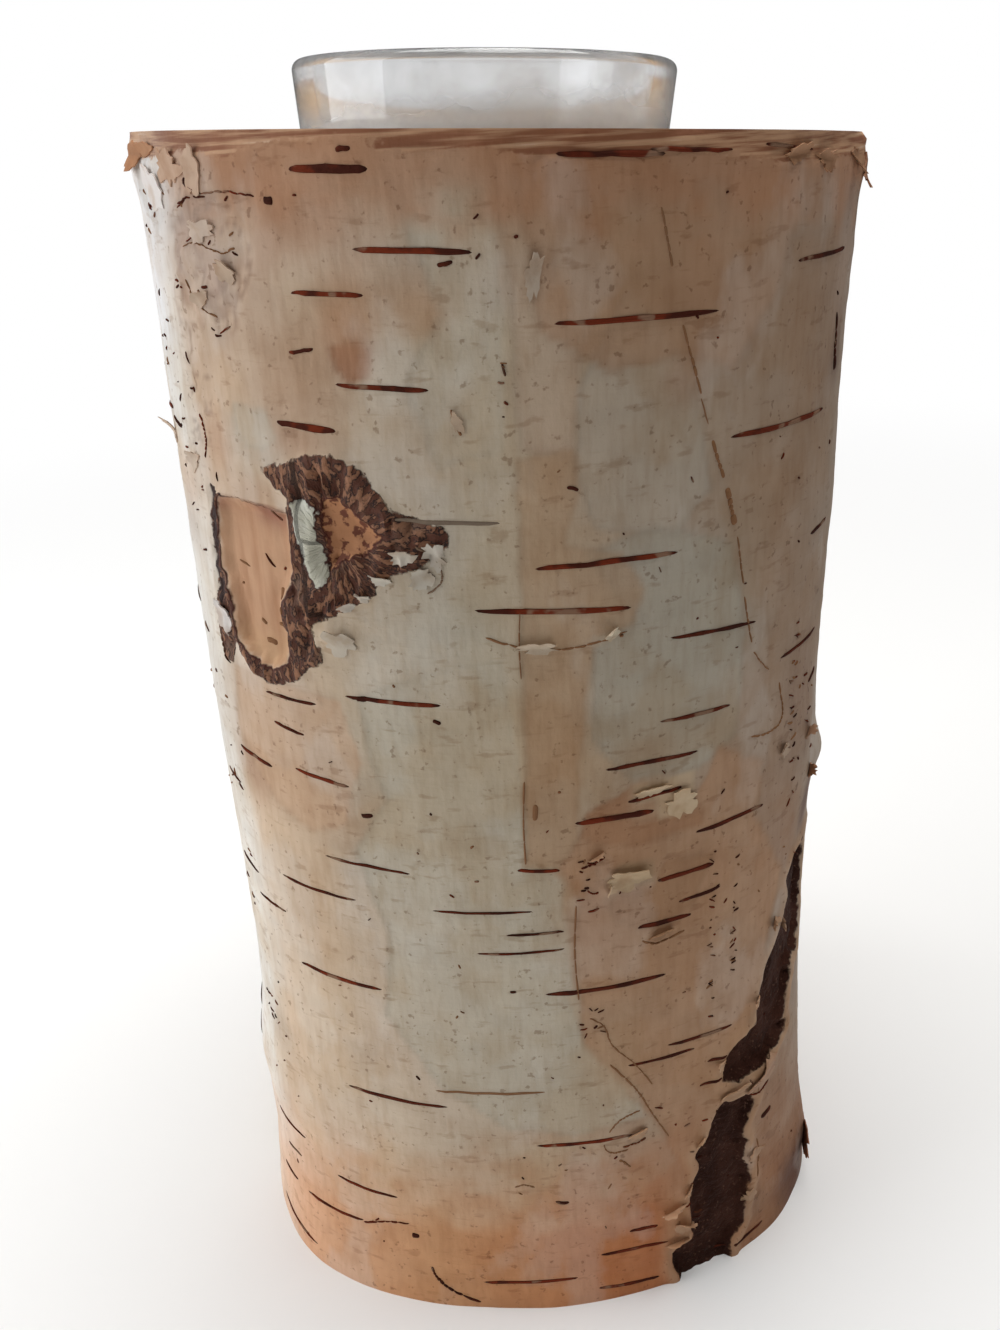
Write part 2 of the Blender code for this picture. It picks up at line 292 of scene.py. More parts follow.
def value_noise(points, cell, seed):
    """Smooth noise from -1 to 1 at points in mm, from one random value at each corner of a grid."""
    scaled = points / np.asarray(cell, float) + 512.0
    corner = np.floor(scaled).astype(np.int64)
    part = scaled - corner
    part = part * part * (3 - 2 * part)
    total = np.zeros(points.shape[:-1])
    for index in range(8):
        step = np.array((index & 1, index >> 1 & 1, index >> 2 & 1))
        spot = corner + step
        scrambled = spot[..., 0] * 374761393 + spot[..., 1] * 668265263 + spot[..., 2] * 2147483647
        scrambled = scrambled + seed * 974711
        scrambled = (scrambled ^ (scrambled >> 13)) * 1274126177
        scrambled = (scrambled ^ (scrambled >> 16)) & 0xFFFF
        weight = np.prod(np.where(step == 1, part, 1 - part), axis=-1)
        total += weight * (scrambled / 32767.5 - 1)
    return total


def layered_noise(points, cell, seed, layers=3):
    """Noise with finer and fainter layers added, each half the size of the last."""
    total = np.zeros(points.shape[:-1])
    for layer in range(layers):
        total += value_noise(points, np.asarray(cell, float) / 2 ** layer, seed + layer) / 2 ** layer
    return total


def depth_inside(outline, around, height):
    """Distance in mm from places on the bark to an outline, positive inside it."""
    corners = np.array(outline, float) * (DEGREE, 1.0)
    px, py = around * DEGREE, height
    nearest = np.full(px.shape, 1e9)
    inside = np.zeros(px.shape, bool)
    for (ax, ay), (bx, by) in zip(corners, np.roll(corners, -1, axis=0)):
        run_x, run_y = bx - ax, by - ay
        along = ((px - ax) * run_x + (py - ay) * run_y) / (run_x ** 2 + run_y ** 2)
        along = np.clip(along, 0, 1)
        nearest = np.minimum(nearest, np.hypot(px - ax - along * run_x, py - ay - along * run_y))
        if run_y:
            inside ^= ((ay > py) != (by > py)) & (px < ax + run_x * (py - ay) / run_y)
    return np.where(inside, nearest, -nearest)


def ease(value, low, high):
    """0 below low, 1 above high and smooth in between."""
    share = np.clip((value - low) / (high - low), 0, 1)
    return share * share * (3 - 2 * share)


def turned(around, middle):
    """Degrees from an azimuth, the short way round."""
    return (around - middle + 180) % 360 - 180


def stem_points(around, share, inwards=0.0):
    """Points in mm on the smooth stem, at azimuths in degrees and shares of its height."""
    stations = np.array(RADIUS_STATIONS)
    step = np.clip(np.searchsorted(stations[:, 0], share, side="right") - 1, 0, len(stations) - 2)
    low, high = stations[step], stations[step + 1]
    radius = low[..., 1] + (high[..., 1] - low[..., 1]) * ease(share, low[..., 0], high[..., 0])
    for middle, rise, half_width in ROOTS:
        radius = radius + (1 - share) * rise * np.exp(-((turned(around, middle) / half_width) ** 2))
    radius = radius - inwards
    angle = np.radians(around)
    x = radius * np.sin(angle) - AXIS_BEND * np.minimum(1, 2.5 * (1 - share))
    y = -radius * np.cos(angle)
    return np.stack([x, y, share * (LOG_HEIGHT - TOP_FALL_RIGHT * x - TOP_FALL_BACK * y)], axis=-1)


def crowded(low, high, count, busy_low, busy_high, extra, margin):
    """Count values from low to high, closer together between busy_low and busy_high."""
    fine = np.linspace(low, high, 4001)
    busy = ease(fine, busy_low - margin, busy_low) * ease(-fine, -busy_high - margin, -busy_high)
    pace = 1 + extra * busy
    running = np.cumsum(pace)
    return np.interp(np.linspace(0, 1, count), (running - running[0]) / (running[-1] - running[0]), fine)


def stop_colours(stops, around):
    """The colour between the two nearest stops at each azimuth."""
    places = [stop[0] for stop in stops]
    return np.stack([np.interp(around, places, [stop[1][c] for stop in stops]) for c in range(3)], axis=-1)


def over(under, colour, weight):
    """A colour laid over others by weight."""
    return under + (np.asarray(colour) - under) * weight[..., None]


def spread_from(middle, level, half_width, half_height):
    """How far each point of the bark is from a place, squared: 1 at the half width or half height."""
    return (turned(around, middle) / half_width) ** 2 + ((height - level) / half_height) ** 2


def washed(under, washes):
    """Colours with soft, uneven stains laid over them, and pale washes that are partly painted highlight.
    """
    for middle, level, half_width, half_height, strength, colour in washes:
        spread = spread_from(middle, level, half_width, half_height)
        spread = spread * (1 + 0.35 * blotches) + 0.15 * flecks
        under = over(under, colour, strength * np.exp(-np.maximum(spread, 0) ** 1.4))
    return under


columns = crowded(-180, 180, BARK_COLUMNS + 1, -80, 80, 1.3, 25)[:-1]
rows = crowded(0, 1, BARK_ROWS, 0.62, 0.80, 0.5, 0.1)
around, share = np.meshgrid(columns, rows)
stem = stem_points(around, share)
height = share * LOG_HEIGHT

# How deep each point lies inside the outlines, with their edges frayed.
fray = 0.45 * layered_noise(stem, 3.2, SEED + 20)
wander = 0.6 * layered_noise(stem, 6.0, SEED + 25) + 0.5 * fray
bare = np.maximum(
    depth_inside(BARE_STRIP_UPPER, around, height), depth_inside(BARE_STRIP_LOWER, around, height)
) + fray + 0.3
collar = depth_inside(SCAR_COLLAR, around, height) + 0.5 * fray
lobe = depth_inside(SCAR_LOBE, around, height) + 0.25 * fray
hollow = depth_inside(SCAR_HOLLOW, around, height) + 0.3 * fray
white_strip = depth_inside(SCAR_WHITE, around, height) + 0.4 * fray
shaded_crack = depth_inside(SCAR_CRACK, around, height) + 1.0 * fray + 0.4
crumpled = depth_inside(CRUMPLED, around, height) + wander
below_top = LOG_HEIGHT - height
torn_places, torn_depths = zip(*TORN_DEPTH)
torn = np.interp(around, torn_places, torn_depths) - below_top
torn += 1.1 * layered_noise(stem, (9.0, 9.0, 2.5), SEED + 30)
ragged = layered_noise(stem, (9.0, 9.0, 0.9), SEED + 33)

# The relief of the bark, in mm outwards.
ridges = np.abs(layered_noise(stem, (2.2, 2.2, 4.5), SEED + 40))
relief = 0.35 * layered_noise(stem, 22.0, SEED) + 0.06 * layered_noise(stem, (6.0, 6.0, 2.0), SEED + 5)
for middle, level, rise, half_width, half_height in LUMPS:
    relief += rise * np.exp(-spread_from(middle, level, half_width, half_height))
relief += ease(collar, -0.8, 0.9) * (COLLAR_RISE - 1.3 * ridges)
lobe_floor = -LOBE_SUNK + 0.25 * layered_noise(stem, (3.0, 3.0, 9.0), SEED + 45)
relief += ease(lobe, -0.4, 1.8) * (lobe_floor - relief)
hollow_floor = -HOLLOW_SUNK + 0.35 * layered_noise(stem, 1.8, SEED + 46)
relief += ease(hollow, -0.3, 0.8) * (hollow_floor - relief)
relief += WHITE_RISE * ease(white_strip, -0.2, 0.5)
relief -= CRACK_SUNK * ease(shaded_crack, -0.2, 0.6)
relief += BARE_LIP * np.exp(-(((bare + 1.0) / 0.9) ** 2))
relief += ease(bare, 0.0, 0.7) * (0.35 * layered_noise(stem, 1.7, SEED + 50) - BARE_SUNK)
relief -= ease(torn, -0.2, 0.4) * (TORN_SUNK + 0.35 * ragged)
relief += ease(crumpled, -1, 2) * 0.42 * layered_noise(stem, (3.6, 3.6, 2.4), SEED + 80)

# The colour of each point: round the log, stained at the foot and the top, and then what lies over that.
blotches = layered_noise(stem, (16.0, 16.0, 22.0), SEED + 60, 4)
flecks = layered_noise(stem, (5.0, 5.0, 3.0), SEED + 65)
# Partly painted shade: the colours round the log darken to a warm brown on the right, away from the light.
tint = washed(stop_colours(BARK_TONES_AND_SHADE, around + 2.5 * blotches), WASHES_AND_HIGHLIGHTS)
behind = ease(np.abs(around), 72, 100)        # the far side, where larger patches differ in colour
tint = over(tint, FAR_BROWN, behind * 0.75 * ease(blotches, 0.25, 0.75))
tint = over(tint, FAR_WHITE, behind * 0.6 * ease(-blotches, 0.3, 0.7))
for colour, outline in PEELED:
    depth = depth_inside(outline, around, height) + wander
    tint = over(tint, colour, 0.8 * ease(depth, -0.4, 0.4) * (1 - 0.25 * ease(blotches, 0, 1)))
    tint = over(tint, np.array(colour) * 0.75, 0.35 * np.exp(-((depth / 0.45) ** 2)))
    relief -= PEEL_SUNK * ease(depth, -0.4, 0.4)
# The foot's colours hold painted shade on its right side as well as its stain.
foot_stain_and_shade = stop_colours(FOOT_STAIN_AND_SHADE, around)
tint = over(tint, foot_stain_and_shade, 0.85 * ease(-height - 4 * flecks, -FOOT_STAIN_TOP, -FOOT_STAIN_FULL))
tint = over(tint, foot_stain_and_shade * FOOT_DARKER, 0.6 * ease(-height - 2 * flecks, -20, -15))
tint = washed(tint, STAINS_AND_HIGHLIGHTS)
top_stain = ease(height + 3 * flecks, LOG_HEIGHT - 14, LOG_HEIGHT - 4) * ease(around, -58, -46)
far_stain = 0.7 * behind * ease(height + 4 * flecks, LOG_HEIGHT - 10, LOG_HEIGHT - 3)
tint = over(tint, TOP_COLOUR, 0.8 * np.maximum(top_stain, far_stain))
on_lobe = ease(lobe, -0.3, 0.3)
tint = over(tint, LOBE_WOOD, on_lobe)
redness = np.exp(-spread_from(-36.5, 141.8, 4.0, 1.9)) + 0.8 * np.exp(-spread_from(-48, 142.2, 2.5, 1.6))
tint = over(tint, LOBE_RED, 0.8 * redness * on_lobe * (1 + 0.5 * flecks).clip(0, 1))
tint = over(tint, LOBE_PALE, 0.5 * ease(lobe, 0, 1) * ease(-height, -127, -120))
# Painted shade: thin dark brown lines along the creases of the crumpled bark stand in for the shade in its
# folds.
crease_shade = ease(np.abs(layered_noise(stem, (4.0, 4.0, 3.0), SEED + 81)), 0.22, 0.0)
tint = over(tint, CREASE_SHADE, 0.55 * crease_shade * ease(crumpled, -0.5, 1.5))
tint = over(tint, BARE_RIM, 0.7 * np.exp(-(((bare + 0.9) / 1.1) ** 2)))
tint = tint * (1 + 0.05 * flecks + 0.04 * blotches)[..., None]

# The furrows of the scar's collar run out from the hollow, and upright beside the lobe.
from_x, from_z = turned(around, -25) * DEGREE, height - 139
nought = np.zeros_like(around)
radiating = np.stack([7 * np.arctan2(from_z, from_x), 0.35 * np.hypot(from_x, from_z), nought], axis=-1)
upright = np.stack([around * DEGREE, 0.35 * height, nought], axis=-1)
round_hollow = (height > 129) & (turned(around, -31) > 0)
furrow_place = np.where(round_hollow[..., None], radiating, upright)

angle = np.radians(around)
outward = np.stack([np.sin(angle), -np.cos(angle), nought], axis=-1)
bark_skin = stem + outward * relief[..., None]


def new_material(name, roughness, specular=0.5):
    """A material, its node tree and its Principled shader."""
    made = bpy.data.materials.new(name)
    made.use_nodes = True
    shader = made.node_tree.nodes["Principled BSDF"]
    shader.inputs["Roughness"].default_value = roughness
    shader.inputs["Specular IOR Level"].default_value = specular
    return made, made.node_tree, shader


def add_node(tree, kind, values=(), **settings):
    """A new node. Its inputs are given by name or place, as values or as sockets to link."""
    made = tree.nodes.new(kind)
    for key, value in settings.items():
        setattr(made, key, value)
    for key, value in dict(values).items():
        if isinstance(value, bpy.types.NodeSocket):
            tree.links.new(value, made.inputs[key])
        else:
            made.inputs[key].default_value = value
    return made


def rgba(colour):
    """A colour with its alpha, or the socket that gives one."""
    return colour if isinstance(colour, bpy.types.NodeSocket) else (*colour, 1.0)


def mixed(tree, weight, first, second, way="MIX"):
    """The socket of one colour blended over another."""
    made = add_node(tree, "ShaderNodeMix", {0: weight, 6: rgba(first), 7: rgba(second)},
                    data_type="RGBA", blend_type=way)
    return made.outputs[2]


def between(tree, value, low, high, start=0.0, end=1.0):
    """The socket of a value eased from start to end while it goes from low to high."""
    values = {"Value": value, "From Min": low, "From Max": high, "To Min": start, "To Max": end}
    return add_node(tree, "ShaderNodeMapRange", values, interpolation_type="SMOOTHSTEP").outputs["Result"]


def combined(tree, way, first, second):
    """The socket of two values put together by a sum, product and so on."""
    return add_node(tree, "ShaderNodeMath", {0: first, 1: second}, operation=way).outputs[0]


def noise_of(tree, stretch, detail):
    """The socket of noise in object space, with this many features per metre along x, y and z."""
    place = add_node(tree, "ShaderNodeTexCoord").outputs["Object"]
    scaled = add_node(tree, "ShaderNodeMapping", {"Vector": place, "Scale": stretch}).outputs["Vector"]
    values = {"Vector": scaled, "Scale": 1.0, "Detail": detail}
    return add_node(tree, "ShaderNodeTexNoise", values).outputs[0]


def named(tree, name, kind="Fac"):
    """The socket of a named attribute."""
    return add_node(tree, "ShaderNodeAttribute", attribute_name=name).outputs[kind]


def bumped(tree, shader, relief_socket, distance):
    """Gives the shader fine relief, distance in metres."""
    values = {"Height": relief_socket, "Distance": distance, "Strength": 1.0}
    tree.links.new(add_node(tree, "ShaderNodeBump", values).outputs["Normal"], shader.inputs["Normal"])


def marked(tree, colour, marks):
    """A colour darkened by marks: their noise, where it starts and is full, strength and shade."""
    for noise, start, full, strength, shade in marks:
        colour = mixed(tree, between(tree, noise, start, full, 0.0, strength), colour, shade, "MULTIPLY")
    return colour


def frayed(tree, name, rough, amount):
    """The socket of the distance inside a named outline, whose edge is roughened by an amount."""
    return combined(tree, "ADD", named(tree, name), combined(tree, "MULTIPLY", rough, amount))


def inlaid(tree, colour, edge, border, inside):
    """A colour with another set in where the distance inside its edge is above 0, in a dark border."""
    colour = mixed(tree, between(tree, edge, -0.40, -0.15), colour, border)
    return mixed(tree, between(tree, edge, -0.10, 0.15), colour, inside)


birch_bark, tree, shader = new_material("birch_bark", 0.72, 0.35)
grain = noise_of(tree, (900, 900, 170), 5)
lines = noise_of(tree, (170, 170, 1300), 4)
mottle = noise_of(tree, (160, 160, 130), 6)
crumbs = noise_of(tree, (900, 900, 900), 3)
stains = noise_of(tree, (45, 45, 38), 8)
bloom = noise_of(tree, (70, 70, 40), 9)
smudges = noise_of(tree, (210, 210, 620), 5)
tint_colour = named(tree, "tint", "Color")
colour = marked(tree, tint_colour, [(stains, 0.50, 0.58, 0.55, (0.90, 0.79, 0.66))])
colour = mixed(tree, between(tree, bloom, 0.53, 0.62, 0.0, 0.16), colour, (0.72, 0.70, 0.66))
colour = marked(tree, colour, [
    (mottle, 0.42, 0.70, 0.45, (0.80, 0.70, 0.58)),
    (grain, 0.40, 0.72, 0.32, (0.74, 0.64, 0.54)),
    (lines, 0.62, 0.76, 0.30, (0.66, 0.55, 0.44)),
    (crumbs, 0.63, 0.72, 0.60, (0.45, 0.34, 0.26)),
    (smudges, 0.60, 0.70, 0.45, (0.62, 0.50, 0.40)),
])

# The scar: a smooth tan lobe and hollow in a rough dark collar, with one white sliver of bark.
furrow_noise = {"Vector": named(tree, "furrow_place", "Vector"), "Scale": 1.3, "Detail": 4.0}
furrows = add_node(tree, "ShaderNodeTexNoise", furrow_noise).outputs[0]
shreds = noise_of(tree, (1500, 1500, 1500), 2)
rough = combined(tree, "MULTIPLY", combined(tree, "SUBTRACT", crumbs, 0.5), 1.6)
ridge = combined(tree, "ABSOLUTE", combined(tree, "SUBTRACT", furrows, 0.5), 0.0)
scar_bark = mixed(tree, between(tree, furrows, 0.42, 0.64), (0.095, 0.028, 0.013), (0.32, 0.15, 0.080))
scar_bark = mixed(tree, between(tree, mottle, 0.50, 0.66, 0.0, 0.7), scar_bark, (0.18, 0.105, 0.068))
scar_bark = mixed(tree, between(tree, ridge, 0.035, 0.008), scar_bark, (0.022, 0.007, 0.004))
scar_bark = mixed(tree, between(tree, shreds, 0.56, 0.70, 0.0, 0.8), scar_bark, (0.030, 0.010, 0.006))
collar_edge = frayed(tree, "collar", rough, 1.0)
in_collar = between(tree, collar_edge, -0.15, 0.15)
colour = mixed(tree, in_collar, colour, scar_bark)
# The deep crack beside the scar is painted near black: its dark inner bark together with painted shade of
# its depth.
in_crack = between(tree, named(tree, "shaded_crack"), 0.1, 0.5)
colour = mixed(tree, in_crack, colour, (0.030, 0.009, 0.006))

fibres = noise_of(tree, (500, 500, 60), 4)
scar_wood = marked(tree, tint_colour, [(fibres, 0.40, 0.75, 0.8, (0.80, 0.70, 0.62))])
lobe_edge = frayed(tree, "lobe", rough, 0.4)
lobe_rim = between(tree, lobe_edge, -0.55, -0.15)
lobe_rim = combined(tree, "MULTIPLY", lobe_rim, between(tree, collar_edge, 0.0, 0.8))
colour = mixed(tree, lobe_rim, colour, (0.075, 0.018, 0.009))
colour = mixed(tree, between(tree, lobe_edge, -0.10, 0.15), colour, scar_wood)

rot = noise_of(tree, (750, 750, 900), 3)
hollow_wood = mixed(tree, between(tree, rot, 0.50, 0.58), (0.42, 0.19, 0.085), (0.14, 0.038, 0.016))
hollow_edge = frayed(tree, "hollow", rough, 1.0)
colour = inlaid(tree, colour, hollow_edge, (0.085, 0.018, 0.009), hollow_wood)
white_sliver = mixed(tree, between(tree, mottle, 0.40, 0.60), (0.66, 0.65, 0.57), (0.50, 0.48, 0.38))
white_edge = frayed(tree, "white_strip", rough, 1.0)
colour = inlaid(tree, colour, white_edge, (0.055, 0.015, 0.009), white_sliver)

# The strip without its outer bark is dark, dry and crumbly, and has no shine.
dark_bark = mixed(tree, between(tree, mottle, 0.35, 0.65), (0.030, 0.010, 0.006), (0.058, 0.022, 0.014))
dark_bark = mixed(tree, between(tree, shreds, 0.60, 0.72, 0.0, 0.7), dark_bark, (0.12, 0.06, 0.04))
in_bare = between(tree, frayed(tree, "bare", rough, 0.5), -0.15, 0.15)
colour = mixed(tree, in_bare, colour, dark_bark)
tree.links.new(between(tree, in_bare, 0.0, 1.0, 0.35, 0.06), shader.inputs["Specular IOR Level"])

# The torn edge of the top cut shows the layers of the bark as fibres that lie along it.
fibre = noise_of(tree, (70, 70, 1500), 4)
torn_bark = mixed(tree, between(tree, fibre, 0.40, 0.60), (0.23, 0.075, 0.030), (0.52, 0.30, 0.17))
torn_bark = mixed(tree, between(tree, fibre, 0.62, 0.70), torn_bark, (0.62, 0.42, 0.29))
torn_edge = frayed(tree, "torn", rough, 1.2)
colour = mixed(tree, between(tree, torn_edge, -0.3, 0.2, 0.0, 0.85), colour, torn_bark)
tree.links.new(colour, shader.inputs["Base Color"])

# Fine relief: the collar's furrows and the crumbs of the bare strip, then the grain of all the bark.
on_wood = combined(
    tree, "MAXIMUM", between(tree, lobe_edge, -0.2, 0.2), between(tree, hollow_edge, -0.2, 0.2)
)
ruggedness = combined(tree, "MULTIPLY", combined(tree, "SUBTRACT", in_collar, on_wood), furrows)
ruggedness = combined(tree, "ADD", ruggedness, combined(tree, "MULTIPLY", in_bare, crumbs))
fine_relief = combined(tree, "ADD", grain, combined(tree, "ADD", crumbs, lines))
fine_relief = combined(tree, "MULTIPLY", fine_relief, 0.14)
bumped(tree, shader, combined(tree, "ADD", ruggedness, fine_relief), 0.7 * MM)


def grid_faces(row_count, column_count):
    """Quads of a grid that closes on itself round the log, facing outwards."""
    row, column = np.meshgrid(np.arange(row_count - 1), np.arange(column_count), indexing="ij")
    following = (column + 1) % column_count
    corners = [row * column_count + column, row * column_count + following]
    corners += [(row + 1) * column_count + following, (row + 1) * column_count + column]
    return np.stack(corners, axis=-1).reshape(-1, 4)


def new_piece(name, points, faces, finish, sharp=None):
    """An object whose mesh has these points, in mm, shaded smooth but for edges sharper than an angle."""
    mesh = bpy.data.meshes.new(name)
    corners = (np.asarray(points).reshape(-1, 3) * MM).tolist()
    mesh.from_pydata(corners, [], [list(map(int, face)) for face in faces])
    mesh.materials.append(finish)
    mesh.shade_smooth()
    if sharp is not None:
        mesh.set_sharp_from_angle(angle=math.radians(sharp))
    return add_object(name, mesh)


def give_colours(made, name, colours):
    """Stores one colour for each point."""
    layer = made.data.attributes.new(name, "FLOAT_COLOR", "POINT")
    full = np.ones((len(colours), 4), np.float32)
    full[:, :3] = colours
    layer.data.foreach_set("color", full.ravel())


def give_values(made, name, values):
    """Stores one number for each point."""
    layer = made.data.attributes.new(name, "FLOAT", "POINT")
    layer.data.foreach_set("value", np.asarray(values, np.float32))


def give_places(made, name, places):
    """Stores one vector for each point."""
    layer = made.data.attributes.new(name, "FLOAT_VECTOR", "POINT")
    layer.data.foreach_set("vector", np.asarray(places, np.float32).ravel())


def place_piece(made, node):
    """Hangs a finished piece on the root body and hides the CAD part that it stands for."""
    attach(made, "root")
    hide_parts(node)


inner_around, inner_share = np.meshgrid(columns, np.linspace(1, 0, 8))
inner = stem_points(inner_around, inner_share, BARK_THICK)
ring_count = BARK_ROWS + len(inner)
bark_faces = grid_faces(ring_count, BARK_COLUMNS)
closing = np.stack([np.arange(BARK_COLUMNS), np.roll(np.arange(BARK_COLUMNS), -1)])
closing_faces = np.stack([*(closing + (ring_count - 1) * BARK_COLUMNS), closing[1], closing[0]], axis=-1)
bark_points = np.concatenate([bark_skin.reshape(-1, 3), inner.reshape(-1, 3)])
bark = new_piece("bark", bark_points, np.concatenate([bark_faces, closing_faces]), birch_bark, 55)
inner_count = inner.shape[0] * inner.shape[1]
inner_tint = np.tile(INNER_BARK, (inner_count, 1))
give_colours(bark, "tint", np.concatenate([tint.reshape(-1, 3), inner_tint]))
far_outside = np.full(inner_count, -9.0)
depths = {
    "bare": bare, "collar": collar, "lobe": lobe, "hollow": hollow,
    "white_strip": white_strip, "torn": torn, "shaded_crack": shaded_crack,
}
for name, depth in depths.items():
    give_values(bark, name, np.concatenate([depth.ravel(), far_outside]))
inner_places = np.zeros((inner_count, 3))
give_places(bark, "furrow_place", np.concatenate([furrow_place.reshape(-1, 3), inner_places]))
place_piece(bark, "log")

# ------------------------------------------------------------------------------------------- the lenticels
# The bark breathes through long horizontal pores with raised corky lips, dark with a red-brown core. Short
# ticks, knots and thin cracks lie between them.
LIP_HEIGHT = 0.22
PORE_SLIMMER = 0.78                # share of the thickness below that a pore keeps
# Long pores: azimuth from and to, height, thickness, tone (0 black, 1 red-brown, 2 grey).
PORES = (
    (7, 21, 184.5, 1.0, 0.6), (19, 31, 184.9, 0.7, 0.7), (37, 48, 185.2, 0.6, 0.5),
    (-20, -18, 185, 0.9, 0.4), (-27, -16, 183, 1.3, 0.7), (-19, -3.5, 174.6, 1.0, 1.0),
    (-8, -6, 173.3, 0.7, 0.4), (-28.6, -18, 169.7, 0.9, 0.8), (-23, -10, 159.3, 0.9, 0.6),
    (-33, -23.5, 154, 1.2, 1.0), (6.5, 30, 167, 1.0, 0.8), (33, 57, 151.7, 1.0, 0.6),
    (45, 61, 172.5, 0.8, 0.3), (8, 9.6, 147.2, 0.6, 0.2), (-16, -1.3, 143.1, 0.8, 2.0),
    (3.4, 24.7, 137.2, 1.0, 0.9), (-5.4, 17.6, 130.9, 1.1, 1.0), (24, 40, 125, 0.8, 0.4),
    (22.8, 36, 112.6, 0.8, 0.5), (13.7, 29.9, 106.6, 0.9, 0.5), (46.8, 60.7, 117.2, 0.8, 0.4),
    (57.7, 62.5, 109.6, 0.8, 0.2), (8.6, 22, 98.5, 1.3, 0.9), (17.4, 27, 101, 0.9, 1.0),
    (29.7, 44, 93.1, 0.9, 0.5), (22.8, 33.5, 86, 1.1, 0.6), (26.9, 35, 81.2, 0.8, 0.5),
    (19.2, 29.3, 78.1, 1.0, 0.5), (2.8, 24.7, 67.7, 1.1, 0.5), (25, 38.3, 53, 0.8, 0.4),
    (17.4, 30.4, 51, 0.8, 0.5), (33, 37, 47.1, 0.7, 0.4), (31.4, 36, 42.6, 0.7, 0.4),
    (0, 18, 36.6, 1.0, 1.0), (-26.5, -11.2, 117.3, 0.9, 0.7), (-42.4, -32, 114.8, 0.7, 0.3),
    (-41.3, -35, 109.9, 0.7, 0.6), (-38, -27.6, 103, 0.8, 0.9), (-52.5, -43.3, 102.3, 0.9, 0.6),
    (-33.8, -18.7, 89.5, 0.7, 0.4), (-44.7, -29, 82.6, 0.7, 0.4), (-15.5, 1.2, 83.3, 0.6, 0.4),
    (-3.3, 6.4, 79.4, 0.6, 0.2), (-8.5, 6.4, 75.9, 0.6, 0.5), (-0.9, 6, 90.8, 0.9, 0.9),
    (-42.8, -26, 66.6, 0.9, 0.9), (-34.3, -15.7, 45, 0.8, 0.4), (-17.7, 2, 48.1, 0.6, 1.6),
    (-38.8, -26.7, 23.1, 0.8, 0.7), (3, 5.6, 23.4, 0.8, 0.1), (-47.3, -34, 14.5, 0.8, 0.7),
    (-11.4, 6.6, 5.7, 0.9, 0.8), (-58.8, -45, 3.5, 0.8, 0.6), (11.2, 24.3, 10.4, 0.8, 0.6),
    (10.5, 22.5, 2.6, 0.8, 0.6), (17, 22.5, 14.4, 0.8, 0.6), (-54, -45, 75, 0.7, 0.4),
    (-61, -53, 79, 0.7, 0.3), (-61, -55, 95, 0.7, 0.3), (-57, -46.5, 27, 0.8, 0.6),
    (-53.6, -48.5, 21.3, 0.7, 0.5), (-57, -51, 13.6, 0.8, 0.5), (-66, -60, 150, 0.8, 0.3),
    (-64, -60, 119, 0.7, 0.3), (34.5, 46, 2.5, 0.8, 0.4), (54, 62, 134.5, 0.8, 0.3),
    (46, 49, 28, 1.6, 0.4), (-30, -26, 163, 0.6, 0.8), (-12.6, -11.4, 114.8, 0.8, 0.1),
    (-26, -24, 98.4, 1.0, 0.1), (-3.3, -2.2, 68.4, 0.6, 0.1), (-24.6, -22.8, 117.2, 1.2, 0.4),
)
